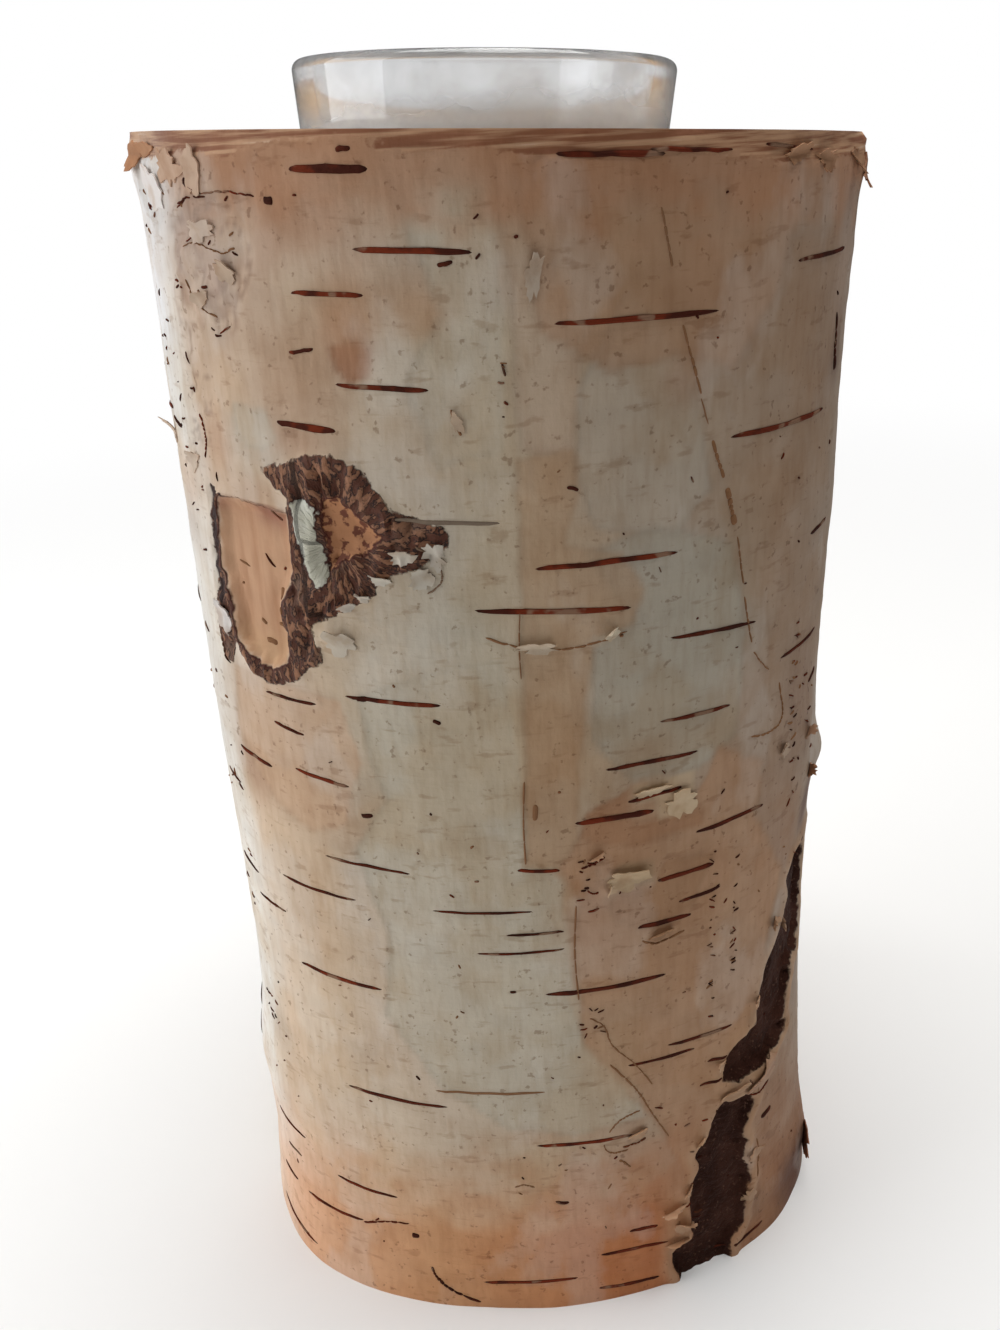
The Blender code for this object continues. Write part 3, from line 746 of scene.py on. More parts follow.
# Thin cracks and edges: thickness, tone and the places they run through.
CRACKS = (
    (0.8, 0.1, ((-53.8, 122.5), (-53, 119), (-51.5, 116.5))),
    (0.6, 0.3, ((-21, 8), (-20.5, 6), (-18, 3.5), (-12, 1.2))),
    (0.4, 0.5, ((-34, 14.5), (-29, 16.5), (-25, 17))), (1.5, 0.1, ((-24.6, 14.5), (-23.2, 14.4))),
    (0.35, 1.5, ((-4, 127.5), (2, 125.6), (10, 125.4), (17, 127.3))),
    (0.3, 1.6, ((20.6, 179), (21.6, 175.5), (22.4, 172.5))),
    (0.4, 1.5, ((24.2, 166), (26, 161.5), (27.6, 157.5))), (0.25, 1.6, ((27.6, 157), (29, 153.5))),
    (0.5, 1.4, ((29.8, 151.5), (31, 148.5), (32, 146.5))),
    (1.0, 1.3, ((32.6, 145), (33.6, 142.2), (34.4, 139.8))),
    (0.3, 1.6, ((35, 138), (36, 134.5), (36.8, 131))),
    (0.35, 1.5, ((37.2, 129), (38.2, 125), (39.4, 121.5))),
    (0.25, 1.6, ((40, 120), (41.8, 117.8), (44, 116))), (0.5, 0.4, ((-46.5, 181.2), (-43, 180.2))),
    (0.35, 0.9, ((-43, 180.2), (-38, 180.6), (-33, 180))), (1.2, 0.2, ((-31.5, 179.6), (-30, 179.6))),
    (0.9, 0.2, ((-47, 181.6), (-45.5, 181))), (0.8, 1.5, ((-42, 125.7), (-40.8, 125.3))),
    (0.8, 1.5, ((-38.3, 125.8), (-36.9, 125.6))), (0.8, 1.5, ((-41.2, 123), (-39.2, 122.6))),
    (1.3, 1.5, ((-37, 130.7), (-35.6, 130.8))), (0.9, 1.3, ((-36.4, 128.8), (-35.6, 128.2))),
    (0.35, 0.9, ((-39.5, 135.6), (-37.6, 134))), (0.3, 1.4, ((-46, 133.5), (-43.5, 133))),
    (0.9, 0.9, ((-36.5, 142.2), (-34.8, 141))), (1.3, 0.2, ((60.5, 164.5), (61, 160), (61.5, 156.5))),
    (0.25, 1.5, ((1.1, 131), (0.8, 126), (1.0, 121.5))), (0.3, 1.5, ((0.9, 106), (0.4, 99), (0.5, 92))),
    (0.9, 1.2, ((2.5, 102), (2.3, 99.5))), (0.35, 1.4, ((8.5, 84), (8, 75), (8.6, 66))),
    (0.35, 1.4, ((14, 52), (19, 46), (21.5, 40.5), (25, 34))),
    (0.3, 1.5, ((10.5, 62), (13.5, 60), (14, 56), (19, 51), (22, 46))),
    (0.3, 1.3, ((13.5, 38), (14.5, 39.5), (17, 40.7), (19.5, 41.2))),
    (0.5, 0.8, ((22.4, 41), (24, 40.3))),
    (0.3, 1.4, ((12.4, 35.4), (12.8, 34), (14.6, 33.1), (17, 33.5))),
    (0.4, 1.1, ((16, 34.2), (18.5, 34.3), (20.5, 35))),
    (0.5, 1.3, ((15.3, 31.5), (16.4, 30.6), (17.4, 29.4))),
    (0.25, 1.6, ((-4.5, 27.5), (-2.5, 28.2), (-0.8, 27.4))),
    (0.5, 0.5, ((9.5, 90.4), (11.5, 91), (13.5, 92))),
    (0.3, 0.8, ((10.5, 86.5), (11.3, 85.6), (12.4, 85.8))), (0.4, 0.8, ((10.5, 82.5), (12.5, 82.8))),
    (0.25, 1.5, ((-50, 170), (-48.5, 168), (-46, 166.6), (-43, 166))),
    (0.25, 1.5, ((-49, 174), (-46, 174.8), (-43, 174.2), (-40, 173.4), (-37.5, 174.4))),
    (0.4, 0.9, ((-51.5, 153), (-50.4, 151), (-50.2, 149), (-51, 147))),
    (0.4, 1.2, ((-7.2, 157), (-6.8, 155.5), (-6.0, 154))),
    (0.3, 1.8, ((-13, 140), (-10, 138), (-9.5, 135), (-12, 133.5))),
    (0.4, 1.2, ((20, 75.5), (22.5, 74), (28, 75.5))),
    (0.3, 1.2, ((47, 113), (48.5, 109), (48, 106), (44.5, 105.4), (40.5, 106))),
    (0.3, 1.3, ((44.6, 24), (45.5, 20), (44.5, 15))),
    (0.7, 0.6, ((42.4, 35.6), (45, 35.2), (47.6, 35.6))),
)
# Fields of short ticks: azimuths and heights that bound them, how many, and their mean length in mm.
TICKS = (
    (-68, -50, 138, 170, 26, 1.0), (-68, -58, 172, 180, 7, 0.9), (-60, 62, 4, 182, 90, 0.45),
    (-51, -36, 163, 181, 14, 1.4), (33, 34.3, 55, 90, 20, 0.8), (38, 39.3, 62, 86, 16, 0.8),
    (51, 53, 90, 125, 22, 0.9), (-58, -51, 48, 53, 10, 1.4), (-0.5, 0.5, 156, 164, 6, 0.6),
    (9, 13, 58, 64, 9, 1.0), (50, 60, 96, 112, 14, 1.1), (-66, -50, 60, 135, 14, 1.0),
    (28, 33, 5, 36, 12, 1.2), (8, 13, 84, 92, 8, 0.9), (75, 285, 6, 180, 150, 1.3),
)
HIDDEN_PORES = 95                  # on the far side
LINE_CUTS = 2                      # how often the corners of a crack are cut


def unrolled(around, height):
    """Metres round the log and above the floor of a place on the bark, before it is wrapped on."""
    x, y, z = stem_points(np.array(float(around)), np.array(height / LOG_HEIGHT))
    return math.radians(around) * TOP_RADIUS * MM, z * MM


def stroke(start, end, thick, tone):
    """A row of the table that the tree reads: place, length, thickness, tilt and tone of one mark."""
    (from_x, from_z), (to_x, to_z) = unrolled(*start), unrolled(*end)
    run = math.hypot(to_x - from_x, to_z - from_z)
    middle = ((from_x + to_x) / 2, 0.0, (from_z + to_z) / 2)
    return middle, run, thick * MM, math.atan2(to_z - from_z, to_x - from_x), tone


def rounded_line(line):
    """The places of a line, with its corners cut where it has any."""
    for _ in range(LINE_CUTS if len(line) > 2 else 0):
        nearer = []
        for (ax, az), (bx, bz) in zip(line, line[1:]):
            nearer.append((0.75 * ax + 0.25 * bx, 0.75 * az + 0.25 * bz))
            nearer.append((0.25 * ax + 0.75 * bx, 0.25 * az + 0.75 * bz))
        line = [line[0], *nearer[1:-1], line[-1]]
    return line


rng = random.Random(SEED)
strokes = []
for start, end, level, thick, tone in PORES:
    lean = rng.uniform(-0.35, 0.35)
    strokes.append(stroke((start, level + lean), (end, level - lean), PORE_SLIMMER * thick, tone))
for thick, tone, line in CRACKS:
    bent = rounded_line(line)
    for start, end in zip(bent, bent[1:]):
        strokes.append(stroke(start, end, thick * rng.uniform(0.6, 1.1), tone))
for low, high, bottom, top, count, length in TICKS:
    for _ in range(count):
        middle, level = rng.uniform(low, high), rng.uniform(bottom, top)
        reach = length * rng.uniform(0.3, 1.6) / DEGREE / 2
        lean = rng.gauss(0, 0.25)
        strokes.append(stroke((middle - reach, level - lean), (middle + reach, level + lean),
                              rng.uniform(0.15, 0.38), rng.uniform(0.0, 1.4)))
for _ in range(HIDDEN_PORES):
    middle, level = rng.uniform(66, 294), rng.uniform(5, 180)
    reach = rng.uniform(3, 13) / 2
    strokes.append(stroke((middle - reach, level), (middle + reach, level + rng.gauss(0, 0.3)),
                          rng.uniform(0.6, 1.2), rng.uniform(0.1, 1.0)))


def stroke_tree():
    """Geometry Nodes that lay a slim spindle on each point and wrap them all on the bark."""
    tree = bpy.data.node_groups.new("lay_strokes", "GeometryNodeTree")
    for name, kind in (
        ("Points", "NodeSocketGeometry"), ("Bark", "NodeSocketObject"), ("Radius", "NodeSocketFloat"),
        ("Lip height", "NodeSocketFloat"), ("Wobble", "NodeSocketFloat"), ("Bend", "NodeSocketFloat"),
        ("Bend from", "NodeSocketFloat"), ("Bend to", "NodeSocketFloat"), ("Finish", "NodeSocketMaterial"),
    ):
        tree.interface.new_socket(name, in_out="INPUT", socket_type=kind)
    tree.interface.new_socket("Strokes", in_out="OUTPUT", socket_type="NodeSocketGeometry")
    given = add_node(tree, "NodeGroupInput").outputs
    here = add_node(tree, "GeometryNodeInputPosition").outputs[0]

    def parts(vector):
        """The sockets of a vector's x, y and z."""
        return add_node(tree, "ShaderNodeSeparateXYZ", {0: vector}).outputs

    def vector(x, y, z):
        """The socket of a vector."""
        return add_node(tree, "ShaderNodeCombineXYZ", {0: x, 1: y, 2: z}).outputs[0]

    def stored(geometry, name, value):
        """The socket of a geometry that keeps a value by name."""
        values = {"Geometry": geometry, "Name": name, "Value": value}
        return add_node(tree, "GeometryNodeStoreNamedAttribute", values).outputs[0]

    def read(name):
        """The socket of a number stored on each point."""
        return add_node(tree, "GeometryNodeInputNamedAttribute", {"Name": name}).outputs[0]

    # One spindle: a small ball laid on its side, with its ends made blunt.
    ball_sizes = {"Segments": 6, "Rings": 10, "Radius": 0.5}
    ball = add_node(tree, "GeometryNodeMeshUVSphere", ball_sizes).outputs[0]
    old = parts(here)
    reach = combined(tree, "MULTIPLY", combined(tree, "POWER", old[2], 2.0), 4.0)
    blunt = combined(tree, "ADD", reach, combined(tree, "MULTIPLY", reach, reach))
    blunt = combined(tree, "SQRT", combined(tree, "ADD", 1.0, blunt), 0.0)
    across = combined(tree, "MULTIPLY", old[1], blunt)
    laid_down = {"Geometry": ball, "Position": vector(old[2], old[0], across)}
    lying = add_node(tree, "GeometryNodeSetPosition", laid_down)
    new = parts(here)
    spindle = stored(stored(lying.outputs[0], "along", new[0]), "across", new[2])
    size = vector(read("run"), given["Lip height"], read("thick"))
    turn = vector(0.0, combined(tree, "MULTIPLY", read("tilt"), -1.0), 0.0)
    laid = add_node(tree, "GeometryNodeInstanceOnPoints", {
        "Points": given["Points"], "Instance": spindle, "Rotation": turn, "Scale": size,
    })
    flat = add_node(tree, "GeometryNodeRealizeInstances", {0: laid.outputs[0]}).outputs[0]

    # The flat marks are wrapped round the log: a ray from outside finds the bark under each point.
    round_way, outwards, upwards = parts(here)
    shake = add_node(tree, "ShaderNodeTexNoise", {"Vector": here, "Scale": 900.0, "Detail": 1.0}).outputs[0]
    shake = combined(tree, "MULTIPLY", combined(tree, "SUBTRACT", shake, 0.5), given["Wobble"])
    upwards = combined(tree, "ADD", upwards, shake)
    angle = combined(tree, "DIVIDE", round_way, given["Radius"])
    side = combined(tree, "SINE", angle, 0.0)
    front = combined(tree, "MULTIPLY", combined(tree, "COSINE", angle, 0.0), -1.0)
    direction = vector(side, front, 0.0)
    bend = add_node(tree, "ShaderNodeMapRange", {
        "Value": upwards, "From Min": given["Bend from"], "From Max": given["Bend to"],
        "To Min": given["Bend"], "To Max": 0.0,
    }).outputs[0]
    away = combined(tree, "MULTIPLY", given["Radius"], 1.6)
    start_x = combined(tree, "ADD", combined(tree, "MULTIPLY", side, away), bend)
    start = vector(start_x, combined(tree, "MULTIPLY", front, away), upwards)
    target = add_node(tree, "GeometryNodeObjectInfo", {"Object": given["Bark"]}).outputs["Geometry"]
    inwards = add_node(tree, "ShaderNodeVectorMath", {0: direction, 1: (-1, -1, -1)}, operation="MULTIPLY")
    ray = add_node(tree, "GeometryNodeRaycast", {
        "Target Geometry": target, "Source Position": start,
        "Ray Direction": inwards.outputs[0], "Ray Length": 0.2,
    })
    lift = add_node(tree, "ShaderNodeVectorMath", {0: direction, "Scale": outwards}, operation="SCALE")
    landing = {0: ray.outputs["Hit Position"], 1: lift.outputs[0]}
    on_bark = add_node(tree, "ShaderNodeVectorMath", landing, operation="ADD").outputs[0]
    wrapped = add_node(tree, "GeometryNodeSetPosition", {
        "Geometry": flat, "Selection": ray.outputs["Is Hit"], "Position": on_bark,
    })
    smooth = add_node(tree, "GeometryNodeSetShadeSmooth", {0: wrapped.outputs[0]}).outputs[0]
    painted = add_node(tree, "GeometryNodeSetMaterial", {"Geometry": smooth, "Material": given["Finish"]})
    add_node(tree, "NodeGroupOutput", {0: painted.outputs[0]})
    return tree


def grown(name, start, tree, values):
    """The plain mesh that a tree makes from a start object, which it replaces."""
    modifier = start.modifiers.new("grow", "NODES")
    modifier.node_group = tree
    for item in tree.interface.items_tree:
        if item.name in values:
            modifier[item.identifier] = values[item.name]
    graph = bpy.context.evaluated_depsgraph_get()
    mesh = bpy.data.meshes.new_from_object(start.evaluated_get(graph))
    mesh.name = name
    bpy.data.objects.remove(start)
    return add_object(name, mesh)


corky_pore, tree, shader = new_material("corky_pore", 0.85, 0.05)
tone = named(tree, "tone")
along = combined(tree, "ABSOLUTE", named(tree, "along"), 0.0)
across = combined(tree, "ABSOLUTE", named(tree, "across"), 0.0)
blotch = noise_of(tree, (190, 190, 190), 3)
core = mixed(tree, between(tree, tone, 0.0, 1.0), (0.050, 0.015, 0.009), (0.165, 0.028, 0.011))
core = mixed(tree, between(tree, blotch, 0.40, 0.50, 0.75, 0.0), core, (0.030, 0.011, 0.008))
core = mixed(tree, between(tree, blotch, 0.57, 0.63, 0.0, 0.75), core, (0.27, 0.17, 0.11))
lip = mixed(tree, between(tree, tone, 0.0, 1.0), (0.020, 0.008, 0.005), (0.050, 0.012, 0.006))
colour = mixed(tree, between(tree, across, 0.28, 0.50), core, lip)
colour = mixed(tree, between(tree, along, 0.40, 0.48, 0.0, 0.8), colour, (0.035, 0.012, 0.008))
faded = mixed(tree, between(tree, tone, 1.5, 2.0), (0.24, 0.12, 0.06), (0.20, 0.15, 0.11))
colour = mixed(tree, between(tree, tone, 1.05, 1.2), colour, faded)
tree.links.new(colour, shader.inputs["Base Color"])
bumped(tree, shader, noise_of(tree, (1500, 1500, 1500), 2), 0.15 * MM)

stroke_mesh = bpy.data.meshes.new("stroke_points")
stroke_mesh.from_pydata([row[0] for row in strokes], [], [])
stroke_points = add_object("stroke_points", stroke_mesh)
for column, name in enumerate(("run", "thick", "tilt", "tone"), start=1):
    give_values(stroke_points, name, [row[column] for row in strokes])
pores = grown("lenticels", stroke_points, stroke_tree(), {
    "Bark": bark, "Radius": TOP_RADIUS * MM, "Lip height": 2 * LIP_HEIGHT * MM, "Wobble": 0.5 * MM,
    "Bend": -AXIS_BEND * MM, "Bend from": 0.6 * LOG_HEIGHT * MM, "Bend to": LOG_HEIGHT * MM,
    "Finish": corky_pore,
})
place_piece(pores, "log")

# ------------------------------------------------------------------------------------- the flakes and peels
# Papery scraps of the outer bark that have come loose and curl off it: white ones beside the scar, tan ones
# along the bare strip, at the top corners and at the foot.
FLAKE_THICK = 0.22
FLAKE_RINGS = 5
FLAKE_SECTORS = 26
FLAKE_CLEAR = 0.10                 # mm between the bark and the middle of a scrap that lies on it
# Azimuth, height, width, length, turn in degrees, lift at the free side, colour.
FLAKES = (
    (-15, 138.5, 3.2, 2.2, 20, 0.9, (0.56, 0.50, 0.42)),
    (-18.5, 135.2, 2.6, 1.7, -10, 0.9, (0.58, 0.53, 0.45)),
    (-12.5, 135.5, 3.4, 2.6, 60, 0.7, (0.55, 0.50, 0.42)),
    (-21.5, 132.5, 2.0, 1.5, 0, 0.9, (0.56, 0.51, 0.44)),
    (-10.5, 138.8, 2.6, 3.6, 30, 0.6, (0.52, 0.47, 0.40)),
    (-24, 130.8, 1.8, 1.3, 40, 0.8, (0.56, 0.50, 0.43)),
    (-26, 125.5, 4.5, 3.6, 15, 0.7, (0.54, 0.47, 0.38)),
    (-50.6, 124.2, 3.8, 4.6, 8, 0.5, (0.70, 0.64, 0.60)),
    (14.5, 127.3, 2.4, 1.8, 40, 1.2, (0.58, 0.50, 0.38)),
    (3.5, 125.9, 5.5, 1.6, 0, 0.5, (0.54, 0.44, 0.33)),
    (27, 98.6, 5.0, 4.6, 0, 0.35, (0.60, 0.45, 0.29)),
    (21.5, 101.8, 4.6, 1.5, 4, 0.4, (0.58, 0.44, 0.29)),
    (17.5, 87.4, 6.6, 3.6, -8, 0.6, (0.50, 0.36, 0.22)),
    (14.5, 86, 1.8, 1.8, 70, 1.1, (0.55, 0.40, 0.26)),
    (23.5, 76, 4.0, 1.6, 10, 0.7, (0.34, 0.19, 0.10)),
    (12.2, 92.4, 2.2, 1.2, 30, 1.2, (0.45, 0.28, 0.17)),
    (25.5, 17, 4.4, 2.4, 20, 1.3, (0.50, 0.31, 0.19)),
    (27.5, 13, 3.6, 3.0, -25, 1.4, (0.50, 0.31, 0.19)),
    (25.8, 9.8, 3.4, 2.0, 10, 1.2, (0.47, 0.28, 0.16)),
    (28.8, 20.5, 2.4, 2.6, 60, 1.0, (0.48, 0.30, 0.18)),
    (31.2, 30.5, 2.2, 2.0, 45, 0.9, (0.46, 0.29, 0.17)),
    (36, 45.5, 1.8, 3.4, 90, 0.9, (0.48, 0.30, 0.18)),
    (44.5, 55, 1.6, 3.4, 80, 0.8, (0.45, 0.28, 0.17)),
    (49.5, 68, 1.8, 3.0, 70, 0.9, (0.45, 0.28, 0.17)),
    (45.5, 38.6, 8.0, 4.2, 25, 0.7, (0.40, 0.24, 0.15)),
    (38.5, 38.2, 4.6, 3.2, 10, 0.6, (0.43, 0.27, 0.16)),
    (43.8, 21, 1.8, 5.0, 80, 0.9, (0.42, 0.26, 0.16)),
    (42.5, 12, 2.0, 3.4, 60, 0.8, (0.40, 0.25, 0.15)),
    (55.5, 66, 1.4, 8.0, 85, 0.7, (0.32, 0.21, 0.14)), (57, 101, 2.4, 2.0, 30, 1.0, (0.36, 0.22, 0.14)),
    (61, 92, 2.0, 3.0, 60, 1.0, (0.34, 0.17, 0.09)), (-44, 176, 5.2, 2.4, 8, 0.5, (0.55, 0.43, 0.34)),
    (-40, 171.5, 3.6, 2.4, -20, 0.45, (0.48, 0.35, 0.25)),
    (-46, 168, 3.2, 1.8, 30, 0.5, (0.50, 0.37, 0.27)),
    (-67, 184.2, 7.0, 3.4, 180, 0.7, (0.40, 0.19, 0.09)),
    (-58, 180.6, 7.5, 4.6, -15, 0.35, (0.78, 0.72, 0.68)),
    (-61, 184.9, 6.5, 1.8, 6, 0.4, (0.44, 0.22, 0.11)),
    (-51, 183, 6.0, 4.0, -8, 0.35, (0.54, 0.36, 0.25)),
    (-44.6, 182.6, 3.2, 5.4, 4, 0.4, (0.54, 0.37, 0.26)),
    (44, 184.6, 5.0, 2.0, 12, 0.6, (0.40, 0.21, 0.11)),
    (51, 183.6, 4.0, 2.2, -15, 0.7, (0.36, 0.19, 0.10)),
    (64, 183.5, 4.4, 3.0, 160, 0.9, (0.34, 0.18, 0.095)),
    (-67, 148, 2.6, 3.0, 20, 0.9, (0.55, 0.42, 0.32)),
    (-55, 146, 3.0, 2.4, 40, 0.7, (0.60, 0.48, 0.38)), (4, 172, 1.8, 5.0, -8, 0.35, (0.50, 0.40, 0.31)),
    (-6.4, 155.5, 1.4, 2.4, 10, 0.5, (0.46, 0.34, 0.24)),
    (49, 101, 2.2, 3.2, 50, 0.6, (0.42, 0.30, 0.21)), (19, 36.5, 3.0, 2.2, 20, 0.6, (0.48, 0.30, 0.18)),
    (66, 7, 6.0, 10.0, 80, 1.4, (0.22, 0.08, 0.035)), (71, 182, 6.0, 4.0, 180, 0.9, (0.36, 0.17, 0.09)),
)

bark_tree = BVHTree.FromPolygons((bark_points * MM).tolist(), bark_faces.tolist())


def on_skin(around, height):
    """The point of the bark's skin in metres at a place, and the way straight out of the log there."""
    angle = math.radians(around)
    outward = Vector((math.sin(angle), -math.cos(angle), 0.0))
    stem_x, stem_y, stem_z = stem_points(np.array(float(around)), np.array(height / LOG_HEIGHT))
    foot = Vector((stem_x, stem_y, stem_z)) * MM
    hit = bark_tree.ray_cast(foot + outward * 30 * MM, -outward)[0]
    return (hit or foot), outward


def flake_shape(place, width, length, turn, lift, seed):
    """Points in metres of a thin closed scrap: its outer side, then its inner side, lifted on one half."""
    shape = random.Random(seed)
    waves = [(shape.uniform(0.04, 0.17), shape.uniform(0, math.tau), count) for count in (2, 3, 5, 8, 11)]
    cosine, sine = math.cos(math.radians(turn)), math.sin(math.radians(turn))
    outer, inner = [], []
    for ring in range(FLAKE_RINGS + 1):
        for sector in range(FLAKE_SECTORS if ring else 1):
            angle = math.tau * sector / FLAKE_SECTORS
            uneven = sum(size * math.sin(count * angle + phase) for size, phase, count in waves)
            reach = ring / FLAKE_RINGS * (1 + uneven)
            across, along = reach * math.cos(angle), reach * math.sin(angle)
            free = max(0.0, along + 0.25)
            u, v = across * width / 2, along * length / 2
            u, v = u * cosine - v * sine, u * sine + v * cosine
            foot, outward = on_skin(place[0] + u / DEGREE, min(place[1] + v, LOG_HEIGHT - 0.8))
            rise = FLAKE_CLEAR + lift * free ** 1.7
            outer.append(foot + outward * (rise + FLAKE_THICK / 2) * MM)
            inner.append(foot + outward * (rise - FLAKE_THICK / 2) * MM)
    return outer + inner


def flake_faces():
    """Faces of a scrap, round its rim as well."""
    sheet = [(0, 1 + sector, 1 + (sector + 1) % FLAKE_SECTORS) for sector in range(FLAKE_SECTORS)]
    for ring in range(1, FLAKE_RINGS):
        low, high = 1 + (ring - 1) * FLAKE_SECTORS, 1 + ring * FLAKE_SECTORS
        for sector in range(FLAKE_SECTORS):
            after = (sector + 1) % FLAKE_SECTORS
            sheet.append((low + sector, high + sector, high + after, low + after))
    count = 1 + FLAKE_RINGS * FLAKE_SECTORS
    rim = 1 + (FLAKE_RINGS - 1) * FLAKE_SECTORS
    faces = sheet + [tuple(index + count for index in face[::-1]) for face in sheet]
    for sector in range(FLAKE_SECTORS):
        after = (sector + 1) % FLAKE_SECTORS
        faces.append((rim + after, rim + sector, rim + sector + count, rim + after + count))
    return faces


loose_bark, tree, shader = new_material("loose_bark", 0.7, 0.35)
shades = noise_of(tree, (350, 350, 350), 4)
colour = marked(tree, named(tree, "tint", "Color"), [(shades, 0.40, 0.70, 0.6, (0.72, 0.58, 0.46))])
tree.links.new(colour, shader.inputs["Base Color"])
bumped(tree, shader, shades, 0.25 * MM)

flake_points, flake_polygons, flake_tints = [], [], []
for index, (middle, level, width, length, turn, lift, colour) in enumerate(FLAKES):
    points = flake_shape((middle, level), width, length, turn, lift, SEED + index)
    flake_polygons += [tuple(corner + len(flake_points) for corner in face) for face in flake_faces()]
    flake_points += points
    flake_tints += [colour] * len(points)
flakes = new_piece("bark_flakes", np.array(flake_points) / MM, flake_polygons, loose_bark, 60)
give_colours(flakes, "tint", np.array(flake_tints))
place_piece(flakes, "log")

# ------------------------------------------------------------------------------------------------ the wood
# The sawn birch inside the bark, one solid with the recess bored square to the slanted top cut. The cuts
# show growth rings round an off-centre pith, open pores and the marks of the saw.
RECESS_OFFSET = -1.7
RECESS_RADIUS = 28.8
RECESS_DEPTH = 48.9
MOUTH_BREAK = 0.5                  # the edge of its mouth is broken by this much, and a little deeper
MOUTH_BREAK_DOWN = 0.6
WOOD_IN_BARK = 0.4                 # the wood reaches this far into the bark
WOOD_SIDES = 180
WOOD_LEVELS = 25

birch_wood, tree, shader = new_material("birch_wood", 0.75, 0.3)
place = add_node(tree, "ShaderNodeTexCoord").outputs["Object"]
drift = add_node(tree, "ShaderNodeTexNoise", {"Vector": place, "Scale": 28.0, "Detail": 3.0})
bent = add_node(
    tree, "ShaderNodeVectorMath", {0: drift.outputs["Color"], "Scale": 0.006}, operation="SCALE"
).outputs[0]
shifted = add_node(tree, "ShaderNodeVectorMath", {0: place, 1: bent}, operation="ADD").outputs[0]
from_pith = add_node(tree, "ShaderNodeMapping", {"Vector": shifted, "Location": (0.004, -0.006, 0.0)})
ring_values = {"Vector": from_pith.outputs[0], "Scale": 105.0, "Distortion": 1.2, "Detail": 2.0}
rings = add_node(
    tree, "ShaderNodeTexWave", ring_values, wave_type="RINGS", rings_direction="Z", wave_profile="SAW"
).outputs["Fac"]
pale = mixed(tree, noise_of(tree, (45, 45, 20), 4), (0.60, 0.42, 0.25), (0.48, 0.31, 0.17))
colour = mixed(tree, between(tree, rings, 0.55, 1.0, 0.0, 0.55), pale, (0.30, 0.16, 0.075))
pores_in_wood = noise_of(tree, (1800, 1800, 60), 2)
colour = mixed(tree, between(tree, pores_in_wood, 0.60, 0.72, 0.0, 0.5), colour, (0.22, 0.12, 0.06))
saw_marks = noise_of(tree, (40, 900, 900), 2)
colour = mixed(tree, between(tree, saw_marks, 0.50, 0.75, 0.0, 0.25), colour, (0.30, 0.19, 0.11))
tree.links.new(colour, shader.inputs["Base Color"])
bumped(tree, shader, combined(tree, "ADD", saw_marks, pores_in_wood), 0.25 * MM)

outwards = Vector((TOP_FALL_RIGHT, TOP_FALL_BACK, 1.0)).normalized()
mouth = Vector((RECESS_OFFSET, 0.0, LOG_HEIGHT - TOP_FALL_RIGHT * RECESS_OFFSET))
recess_turn = Vector((0, 0, 1)).rotation_difference(outwards)
recess_frame = Matrix.Translation(mouth) @ recess_turn.to_matrix().to_4x4()


def bored_ring(radius, depth, sides):
    """A ring of points in mm, square to the recess, at a depth below its mouth."""
    angles = np.radians(np.arange(sides) * 360 / sides - 90)
    ring = np.stack([radius * np.cos(angles), radius * np.sin(angles), np.full(sides, -depth)], axis=-1)
    turn = np.array(recess_frame)
    return ring @ turn[:3, :3].T + turn[:3, 3]


wood_around = np.arange(WOOD_SIDES) * 360 / WOOD_SIDES
wood_levels = np.linspace(0, 1, WOOD_LEVELS)
wood_rings = [
    stem_points(wood_around, np.full(WOOD_SIDES, level), BARK_THICK - WOOD_IN_BARK) for level in wood_levels
]
wood_rings.append(bored_ring(RECESS_RADIUS + MOUTH_BREAK, 0.0, WOOD_SIDES))
wood_rings.append(bored_ring(RECESS_RADIUS, MOUTH_BREAK_DOWN, WOOD_SIDES))
wood_rings.append(bored_ring(RECESS_RADIUS, RECESS_DEPTH, WOOD_SIDES))
wood_faces = [list(face) for face in grid_faces(len(wood_rings), WOOD_SIDES)]
wood_faces.append(list(range(WOOD_SIDES))[::-1])
wood_faces.append(list(range((len(wood_rings) - 1) * WOOD_SIDES, len(wood_rings) * WOOD_SIDES)))
wood = new_piece("sawn_wood", np.concatenate(wood_rings), wood_faces, birch_wood, 35)
place_piece(wood, "log")

# ----------------------------------------------------------------------------------------------- the glass
# A tapered cup of clear pressed glass with a thick, fire-rounded rim, turned round its own axis.
CUP_HEIGHT = 58.0
CUP_BASE_RADIUS = 23.0
CUP_RIM_RADIUS = 27.6
CUP_WALL = 2.8
CUP_FLOOR = 6.0
CUP_FOOT_ROUND = 2.5
CUP_INNER_ROUND = 5.0
CUP_SIDES = 192
CUP_GAP = 0.3
GLASS_WAVE = 0.16                  # mm that the hand can feel in the pressed glass
HAZE_FROM = 0.1925                 # metres above the floor, from where the glass gets hazier downwards
HAZE_FULL = 0.1865                 # and where it is haziest


def arc(middle, radius, start, end, steps):
    """Points (radius, height) on an arc, with its angles in degrees from straight outwards."""
    across, up = middle
    angles = np.radians(np.linspace(start, end, steps + 1))
    return [(across + radius * math.cos(angle), up + radius * math.sin(angle)) for angle in angles]


